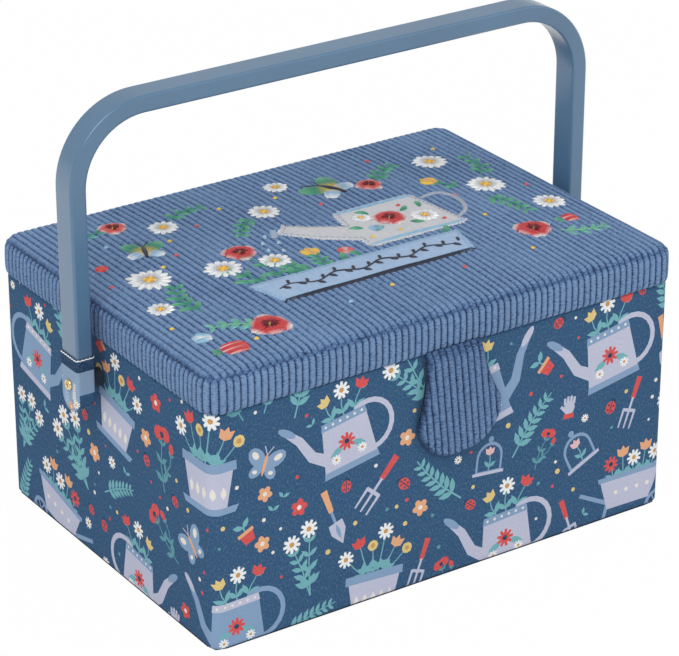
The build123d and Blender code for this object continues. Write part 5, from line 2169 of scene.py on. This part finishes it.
    def left_group(self, work: Needlework) -> None:
        """Sews the left end of the lid."""
        work.sprig([(-98, -38), (-101, -22), (-95, -8)], 5, 8.6)
        work.sprig([(-84, -64), (-92, -56), (-103, -54)], 4, 7.6, PALE_GREENS)
        work.daisy(-100, 6, 11.0, 14)
        work.poppy(-80, -66, 10.5, 80)
        work.daisy(-112, -24, 6.4, 11)
        work.tulip(-108, -62, 9.0, 150, Ink.SKY, Ink.WHITE)
        work.butterfly(-86, 34, 14.0, 70)
        work.heart(-112, 30, 2.8, Ink.CORAL, Ink.RED)
        work.daisy(-64, 54, 7.8, 12)
        work.sprig([(-58, 60), (-48, 66), (-36, 66)], 4, 7.0)
        work.sprig([(-112, 58), (-104, 66), (-92, 68)], 4, 7.4, (Ink.EMERALD, Ink.PALE_TEAL))
        work.poppy(-84, 68, 7.6, 10, Ink.CORAL)
        self.berry(work, -104, -76, 15.0, 8)
        yellow, coral, sky = Ink.YELLOW, Ink.CORAL, Ink.SKY
        for x, y, ink in (
            (-88, 14, yellow), (-76, 22, coral), (-118, -44, yellow), (-92, -74, yellow),
            (-70, 38, yellow), (-118, 10, coral), (-98, 50, sky), (-50, 46, coral),
        ):
            work.knot(x, y, 1.2, ink)

    def right_group(self, work: Needlework) -> None:
        """Sews the right end and the back of the lid."""
        work.daisy(98, 12, 10.0, 14)
        work.daisy(112, -22, 8.4, 13)
        work.poppy(84, -46, 10.0, 15)
        work.daisy(92, 52, 9.0, 13)
        work.sprig([(88, 0), (94, -12), (96, -26)], 5, 8.0)
        work.sprig([(104, 24), (112, 34), (112, 48)], 4, 7.8)
        work.sprig([(94, -54), (104, -60), (116, -60)], 4, 7.6, PALE_GREENS)
        work.tulip(78, 26, 9.0, 118, Ink.YELLOW, Ink.PEACH)
        work.sprig([(84, 16), (82, 20), (79, 25)], 2, 6.4)
        work.butterfly(30, 48, 17.0, 118)
        work.sprig([(54, 44), (62, 54), (72, 58)], 4, 7.8)
        work.poppy(48, 42, 7.4, 50, Ink.CORAL)
        work.daisy(-14, 42, 8.0, 12)
        work.sprig([(-22, 38), (-32, 34), (-38, 24)], 4, 7.0)
        work.daisy(8, 66, 6.4, 11)
        self.berry(work, 108, -44, 9.0, 6)
        yellow, coral, sky = Ink.YELLOW, Ink.CORAL, Ink.SKY
        for x, y, ink in (
            (74, -20, yellow), (76, 8, coral), (104, 66, yellow), (66, 70, coral), (0, 54, yellow),
            (14, 34, coral), (70, -64, yellow), (30, -64, coral), (-10, -62, yellow), (-36, -66, sky),
            (116, 2, coral), (-30, 58, yellow),
        ):
            work.knot(x, y, 1.2, ink)

    @staticmethod
    def berry(work: Needlework, x: float, y: float, length: float, rows: int) -> None:
        """Sews a strawberry of red and pale strands."""
        for index in range(rows):
            share = (index + 0.5) / rows * 2 - 1
            half, at = 0.5 * length * math.sqrt(1 - 0.6 * share * share), y + share * rows * 0.62
            inks = [Ink.RED if index % 3 else Ink.BLUSH, Ink.RED if index % 2 else Ink.CORAL]
            work.satin([(x - half, at), (x + half * 0.8, at)], [1.0, 1.35, 1.0], inks, 0.8, 0.4, ragged=0.8)
        for turn in (-40, 0, 40):
            work.leaf(x - 0.52 * length, y, 4.6, 180 + turn)

    def build(self) -> None:
        """Builds the picture."""
        self.cloth_piece("planter_patch", self.planter_outline(), Finishes.CHAMBRAY, "applique_planter")
        self.cloth_piece("can_patch", self.can_outline(), Finishes.LINEN, "applique_can")
        self.edges()
        self.flowers()


class Facing(Enum):
    """The side that a panel shows, as an axis and a sign."""

    FRONT = (1, -1)
    BACK = (1, 1)
    LEFT = (0, -1)
    RIGHT = (0, 1)
    UP = (2, 1)
    DOWN = (2, -1)


@dataclass
class QuiltedPanel:
    """A padded cloth panel that fills the space of a packed panel and shows one quilted side."""

    name: str
    node: str
    facing: Facing
    finish: Finish = Finishes.LINING
    quilt: float = 26.0
    sink: float = 0.9
    puff: float = 0.25
    border: float = 1.1
    step: float = 2.6

    def relief(self, x: Array, y: Array, width: float, height: float) -> Array:
        """How far the shown side stands out at places across it, in millimetres."""
        edge = np.minimum(np.minimum(x, width - x), np.minimum(y, height - y))
        rounded = -self.border * (1 - np.sqrt(1 - (1 - np.clip(edge / (2 * self.border), 0, 1)) ** 2))
        crease = 0.12 * np.sin(x / 4.3 + 2.2 * np.sin(y / 15.0)) * np.exp(-edge / 6.0)
        diagonals = [np.mod((x + side * y) / self.quilt + 0.5, 1.0) - 0.5 for side in (1, -1)]
        nearest = np.minimum(*(np.abs(share) * self.quilt for share in diagonals))
        seams = self.sink * np.exp(-((nearest / 2.4) ** 2)) * np.clip((edge - 4) / 4, 0, 1)
        return rounded + self.puff - seams + crease

    def build(self, body: str) -> Piece:
        """Builds the panel.

        Args:
            body: the body that it rides on.

        Returns:
            The closed panel.
        """
        low, high = span(self.node)
        axis, sign = self.facing.value
        first, second = [other for other in range(3) if other != axis]
        width, height = high[first] - low[first], high[second] - low[second]
        columns, rows = int(width / self.step) + 4, int(height / self.step) + 4
        shown = high[axis] if sign > 0 else low[axis]
        hidden = low[axis] if sign > 0 else high[axis]
        margin_x, margin_y = 1.0 / columns, 1.0 / rows

        def surface(across: Array, up: Array) -> Array:
            """Bends the sheet over the panel's edge."""
            s = (across - margin_x) / (1 - 2 * margin_x)
            t = (up - margin_y) / (1 - 2 * margin_y)
            over = np.maximum.reduce([-s, s - 1, -t, t - 1])
            x, y = np.clip(s, 0, 1) * width, np.clip(t, 0, 1) * height
            raised = shown + sign * self.relief(x, y, width, height)
            points = np.zeros((len(x), 3))
            points[:, first], points[:, second] = low[first] + x, low[second] + y
            points[:, axis] = np.where(over > 1e-6, hidden, raised)
            return points

        piece = Bench.grid(self.name, columns, rows, surface)
        if (sign > 0) == (axis == 1):
            Bench.turn_faces(piece)
        with Bench.editing(piece):
            bpy.ops.mesh.region_to_loop()
            bpy.ops.mesh.edge_face_add()
        Bench.weld(piece)
        Bench.smooth(piece, 50.0)
        return pad(dress(piece, self.finish), 0.4, body, self.node)


@dataclass
class Interior:
    """The linings, the pocket, the pincushion, the hinge cloth and the stay ribbons."""

    open_angle: float = 100.0
    hinge_y: float = 95.8
    hinge_z: float = 121.0
    stay_thickness: float = 0.35
    cushion_swell: float = 4.0

    def panels(self) -> None:
        """The padded linings of the box."""
        for side, facing in (
            ("front", Facing.BACK),
            ("back", Facing.FRONT),
            ("left", Facing.RIGHT),
            ("right", Facing.LEFT),
            ("floor", Facing.UP),
        ):
            QuiltedPanel(f"lining_{side}_quilt", f"lining_{side}", facing).build("root")

    def base(self) -> None:
        """The dark cloth under the box, folded round the base."""
        ring = Ring(129.5, 94.5, 5.2)
        low, high = (corner[2] for corner in span("base_cover"))
        section = [(0.0, low), (0.5, low), (0.97, low), (1.0, 0.5 * (low + high))]
        section += [(0.97, high), (0.5, high), (0.0, high)]

        def surface(across: Array, up: Array) -> Array:
            """Draws the ring in to the middle above and below."""
            place, _ = ring.walk(across * ring.length)
            steps = np.arange(len(section))
            share, z = (np.interp(up * steps[-1], steps, column) for column in zip(*section))
            return np.column_stack([place * share[:, None], z])

        piece = Bench.grid("base_cloth", 160, len(section) - 1, surface)
        Bench.weld(piece, 0.003)
        Bench.smooth(piece, 40.0)
        pad(dress(piece, Finishes.DARK_CLOTH), 0.4, "root", "base_cover")

    def rim_lining(self) -> None:
        """The lining strip inside the lid's edge."""
        low, high = span("lid_rim_lining")
        ring = Ring(high[0] - 0.4, high[1] - 0.4, 4.0)
        section = [(0.35, low[2] + 0.2), (-0.1, low[2]), (-0.4, low[2] + 0.5), (-0.3, high[2])]
        walked, height = 9.0, 10.0

        def surface(across: Array, up: Array) -> Array:
            """Wraps the strip round the inside of the edge."""
            place, out = ring.walk(across * ring.length)
            inside, z = along(section, up * walked).T
            gather = 0.07 * np.sin(across * ring.length / 2.1) * np.sin(math.pi * np.clip(up, 0, 1))
            return np.column_stack([place + out * (inside + gather)[:, None], z])

        piece = Bench.grid("lid_rim_lining_strip", 420, 9, surface)
        Bench.weld(piece, 0.003)
        Bench.turn_faces(piece)
        dress(piece, Finishes.LINING)
        ring.length * MM
        ride(piece, "lid", "lid_rim_lining")

    def pocket(self) -> None:
        """The gathered pocket."""
        low, high = span("lid_pocket")
        width, depth, deep = high - low

        def surface(across: Array, up: Array) -> Array:
            """Hangs the cloth from the lid's lining, gathered towards its open edge."""
            side = np.clip(np.minimum(across, 1 - across) * width / 5.0, 0, 1)
            back = np.clip((1 - up) * depth / 5.0, 0, 1)
            crown = np.sqrt(np.clip(1 - (1 - side) ** 2, 0, 1) * np.clip(1 - (1 - back) ** 2, 0, 1))
            belly = 0.62 + 0.38 * np.sin(math.pi * np.clip(up * 1.1, 0, 1))
            folds = np.sin(across * 92 + 1.4 * np.sin(up * 3.1 + across * 9)) * (1 - up) ** 1.4
            folds += 0.4 * np.sin(across * 41 + up * 5) * (1 - up)
            drop = crown * (0.80 * deep * belly + 0.45 * folds)
            return np.column_stack([low[0] + across * width, low[1] + 1 + up * (depth - 1), high[2] - drop])

        piece = Bench.grid("lid_pocket_cloth", 180, 48, surface)
        Bench.turn_faces(piece)
        dress(piece, Finishes.LINING)
        1.25 * width * MM
        depth * MM
        ride(piece, "lid", "lid_pocket")

    def elastic(self) -> None:
        """The pocket's elastic in its ruched cloth."""
        low, high = span("pocket_elastic")
        middle, half = (low + high) / 2, (high - low) / 2

        def band(across: Array, up: Array) -> Array:
            """Wraps ruched cloth round the elastic."""
            angle = FULL_TURN * up
            ruche = 1 - 0.16 * (0.5 + 0.5 * np.sin(across * 230 + 0.8 * np.sin(angle)))
            taper = np.clip(np.minimum(across, 1 - across) * 60, 0.05, 1) ** 0.5
            y = middle[1] + half[1] * np.cos(angle) * ruche * taper
            z = middle[2] + half[2] * np.sin(angle) * ruche * taper
            return np.column_stack([low[0] + across * (high[0] - low[0]), y, z])

        piece = Bench.grid("pocket_ruched_elastic", 420, 12, band)
        Bench.weld(piece, 0.003)
        pad(dress(piece, Finishes.RIBBON), 0.5, "lid", "pocket_elastic")

    def pincushion(self) -> None:
        """The pincushion, blown up by a cloth simulation and tufted in its middle."""
        low, high = span("pincushion")
        middle, size = (low + high) / 2, high - low
        Bench.clear()
        bpy.ops.mesh.primitive_cube_add(size=1, location=tuple(middle * MM))
        bpy.context.object.scale = tuple((size - np.array([7.0, 7.0, 3.2])) * MM)
        piece = Bench.named("coral_pincushion")
        Bench.modify(piece, "BEVEL", width=1.6 * MM, segments=3)
        Bench.modify(piece, "REMESH", mode="VOXEL", voxel_size=1.5 * MM)
        rest = Bench.points(piece)
        self.inflate(piece)
        step = Bench.points(piece) - rest
        reach = np.linalg.norm(step, axis=1)
        points = rest + step * np.minimum(1, self.cushion_swell / np.maximum(reach, 1e-6))[:, None]
        share = (points - middle) / (size / 2)
        flat = np.hypot(share[:, 0], share[:, 1])
        below = np.clip(-share[:, 2], 0, 1)
        dome = np.sqrt(np.clip(1 - 0.75 * np.clip(flat, 0, 1.15) ** 2, 0.02, 1))
        tuft = 1 - 0.55 * np.exp(-((flat / 0.16) ** 2))
        points[:, 2] = high[2] + (points[:, 2] - high[2]) * np.where(below > 0, dome * tuft * 1.25, 1.0)
        points = np.clip(points, low + 0.1, high - 0.05)
        piece.data.vertices.foreach_set("co", (points * MM).ravel())
        piece.data.update()
        Bench.modify(piece, "SUBSURF", levels=1, render_levels=1)
        Bench.smooth(piece, 180.0)
        pad(dress(piece, Finishes.CUSHION), 0.8, "lid", "pincushion")

    @staticmethod
    def inflate(piece: Piece) -> None:
        """Blows a closed cushion up with Blender's cloth."""
        Bench.hold(piece)
        cloth = piece.modifiers.new("cloth", "CLOTH")
        cloth.settings.use_pressure = True
        cloth.settings.uniform_pressure_force = 4.0
        cloth.settings.effector_weights.gravity = 0.0
        cloth.settings.quality = 6
        scene = bpy.context.scene
        for number in range(1, 21):
            scene.frame_set(number)
        bpy.ops.object.modifier_apply(modifier=cloth.name)
        scene.frame_set(1)

    def hinge(self) -> None:
        """The cloth strip that the lid turns on."""
        half, low, high = 118.0, 107.0, 122.6

        def surface(across: Array, up: Array) -> Array:
            """Hangs the strip against the back wall."""
            x = (1 - 2 * across) * half
            z = low + up * (high - low)
            y = 95.28 + 0.10 * np.sin(x / 6.0) * np.sin(math.pi * up)
            return np.column_stack([x, y, z])

        piece = Bench.grid("hinge_strip", 120, 26, surface)
        Bench.lay_cloth(piece, Bench.points(piece)[:, [0, 2]])
        dress(piece, Finishes.DARK_CLOTH)
        cross(piece, "root", "lid", "hinge_cloth", (0, 0.0953, 0.1203), (0, 0.0953, 0.1216))

    def turned_back(self, points: Array, degrees: Array) -> Array:
        """Turns (y, z) points about the hinge, back from the open lid."""
        angle = np.radians(degrees)
        y, z = points[:, 0] - self.hinge_y, points[:, 1] - self.hinge_z
        cosine, sine = np.cos(angle), np.sin(angle)
        return np.column_stack([y * cosine - z * sine + self.hinge_y, y * sine + z * cosine + self.hinge_z])

    def stay(self, side: int) -> None:
        """One ribbon that stops the open lid.

        Args:
            side: 1 for the right and -1 for the left.
        """
        anchor = np.array([61.0, 122.4])
        lid_end = np.array([[30.0, 126.4]])
        opened = self.turned_back(lid_end, np.array([-self.open_angle]))[0]
        toward = (opened - anchor) / np.hypot(*(opened - anchor))
        normal = np.array([-toward[1], toward[0]])
        start = heading((self.hinge_y, self.hinge_z), anchor) % 360

        def surface(across: Array, up: Array) -> Array:
            """Lays the ribbon as the straight open ribbon turned back about the hinge, each part by its own
            angle.
            """
            centre = anchor + up[:, None] * (opened - anchor)
            at = np.degrees(np.arctan2(centre[:, 1] - self.hinge_z, centre[:, 0] - self.hinge_y)) % 360
            turn = np.clip(start - at, 0, self.open_angle)
            turn = np.where(up > 0.999, self.open_angle, turn)
            weight = turn / self.open_angle
            edge = centre + ((across - 0.5) * 8.6)[:, None] * normal
            rest = self.turned_back(edge, turn)
            share = 0.5 - np.sin(np.arcsin(1 - 2 * weight) / 3)
            return np.column_stack([side * (124.35 - 3.0 * share), rest])

        piece = Bench.grid(f"stay_ribbon_tape_{hand(side)}", 8, 60, surface)
        Bench.modify(piece, "SOLIDIFY", thickness=self.stay_thickness * MM, offset=0.0)
        Bench.weld(piece)
        dress(piece, Finishes.RIBBON)
        ends = ((side * 0.12435, 0.05, 0.12), (side * 0.12135, 0.05, 0.12))
        cross(piece, "root", "lid", f"stay_ribbon_{hand(side)}", *ends)

    def build(self) -> None:
        """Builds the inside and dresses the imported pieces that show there."""
        self.panels()
        self.base()
        QuiltedPanel("lid_lining_quilt", "lid_lining", Facing.DOWN, puff=0.1).build("lid")
        self.rim_lining()
        self.pocket()
        self.elastic()
        self.pincushion()
        self.hinge()
        for side in (-1, 1):
            self.stay(side)
        walls = [f"wall_{name}" for name in ("front", "back", "left", "right")]
        for node in ("base_board", *walls, "lid_board", "lid_rim_frame", "tab_core"):
            dress_node(node, Finishes.CARD)
        dress_node("sewing_tray", Finishes.TRAY)
        dress_node("catch_plate", Finishes.STEEL)
        dress_node("tab_magnet", Finishes.MAGNET)


@dataclass
class Studio:
    """The camera at the photograph's angle, the pale floor and the soft light."""

    location: tuple[float, float, float] = (-0.741, -1.108, 0.725)
    turn: tuple[float, float, float] = (64.65, 0.0, -33.85)
    lens: float = 160.74
    shift: float = -0.0019
    sensor: float = 36.0

    def camera(self) -> None:
        """Adds the camera."""
        data = bpy.data.cameras.new("photo_camera")
        data.lens, data.sensor_width, data.shift_y = self.lens, self.sensor, self.shift
        data.clip_start, data.clip_end = 0.05, 50.0
        camera = bpy.data.objects.new("photo_camera", data)
        camera.location = self.location
        camera.rotation_euler = [math.radians(angle) for angle in self.turn]
        bpy.context.collection.objects.link(camera)
        bpy.context.scene.camera = camera

    def floor(self) -> None:
        """Adds the floor, white to the camera and in reflections but shaded by the box."""
        Bench.clear()
        bpy.ops.mesh.primitive_plane_add(size=14, location=(0, 0, -0.1 * MM))
        floor = Bench.named("studio_floor")
        recipe = Recipe("studio_white")
        rays = [recipe.node("ShaderNodeLightPath", output=f"Is {kind} Ray") for kind in ("Camera", "Glossy")]
        glow = recipe.node("ShaderNodeEmission", {}, {"Color": PURE_WHITE, "Strength": 1.0})
        grain = recipe.noise(recipe.place(), 3.0, 2.0)
        tint = recipe.blend(grain, shade(232, 232, 232), shade(236, 236, 236))
        matt = recipe.node("ShaderNodeBsdfDiffuse", {}, {"Color": tint})
        seen = (rays[0] + rays[1]).between(0.0, 1.0) * 0.985
        white = recipe.node("ShaderNodeMixShader", {}, {0: seen, 1: matt, 2: glow})
        under = recipe.node("ShaderNodeNewGeometry", output="Backfacing")
        clear = recipe.node("ShaderNodeBsdfTransparent")
        recipe.node_out(recipe.node("ShaderNodeMixShader", {}, {0: under, 1: white, 2: clear}))
        floor.data.materials.append(recipe.material)

    def lamp(self, name: str, at: tuple[float, float, float], size: float, power: float) -> None:
        """Adds one soft lamp that faces the box."""
        data = bpy.data.lights.new(name, "AREA")
        data.size, data.energy = size, power
        lamp = bpy.data.objects.new(name, data)
        lamp.location = at
        lamp.rotation_euler = (Vector((0, 0, 0.1)) - Vector(at)).to_track_quat("-Z", "Y").to_euler()
        bpy.context.collection.objects.link(lamp)

    def world(self) -> None:
        """A world that is white to the camera and lights evenly."""
        world = bpy.data.worlds.new("studio_world")
        bpy.context.scene.world = world
        world.use_nodes = True
        tree = world.node_tree
        tree.nodes.clear()
        kinds = ("OutputWorld", "LightPath", "MixShader", "Background", "Background")
        out, path, mix, soft, seen = (tree.nodes.new(f"ShaderNode{kind}") for kind in kinds)
        for node, colour, strength in ((soft, (0.95, 0.97, 1.0, 1), 0.62), (seen, PURE_WHITE, 1.0)):
            node.inputs["Color"].default_value = colour
            node.inputs["Strength"].default_value = strength
        for index, end in enumerate((path.outputs["Is Camera Ray"], soft.outputs[0], seen.outputs[0])):
            tree.links.new(end, mix.inputs[index])
        tree.links.new(mix.outputs[0], out.inputs["Surface"])

    def build(self) -> None:
        """Sets up the whole studio."""
        self.camera()
        self.floor()
        self.world()
        self.lamp("key_light", (-1.0, -0.9, 1.7), 1.2, 17.0)
        self.lamp("fill_light", (1.6, -1.4, 1.2), 1.6, 7.0)
        bpy.context.scene.view_settings.view_transform = "Standard"


def main() -> None:
    """Builds the whole box."""
    logging.basicConfig(level=logging.INFO, format="%(message)s")
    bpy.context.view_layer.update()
    Studio().build()
    BoxBody().build()
    lid = LidCloth()
    lid.build()
    LidPicture(lid).build()
    ClosingTab().build()
    CarryHandle().build()
    Interior().build()


if __name__ == "__main__":
    main()
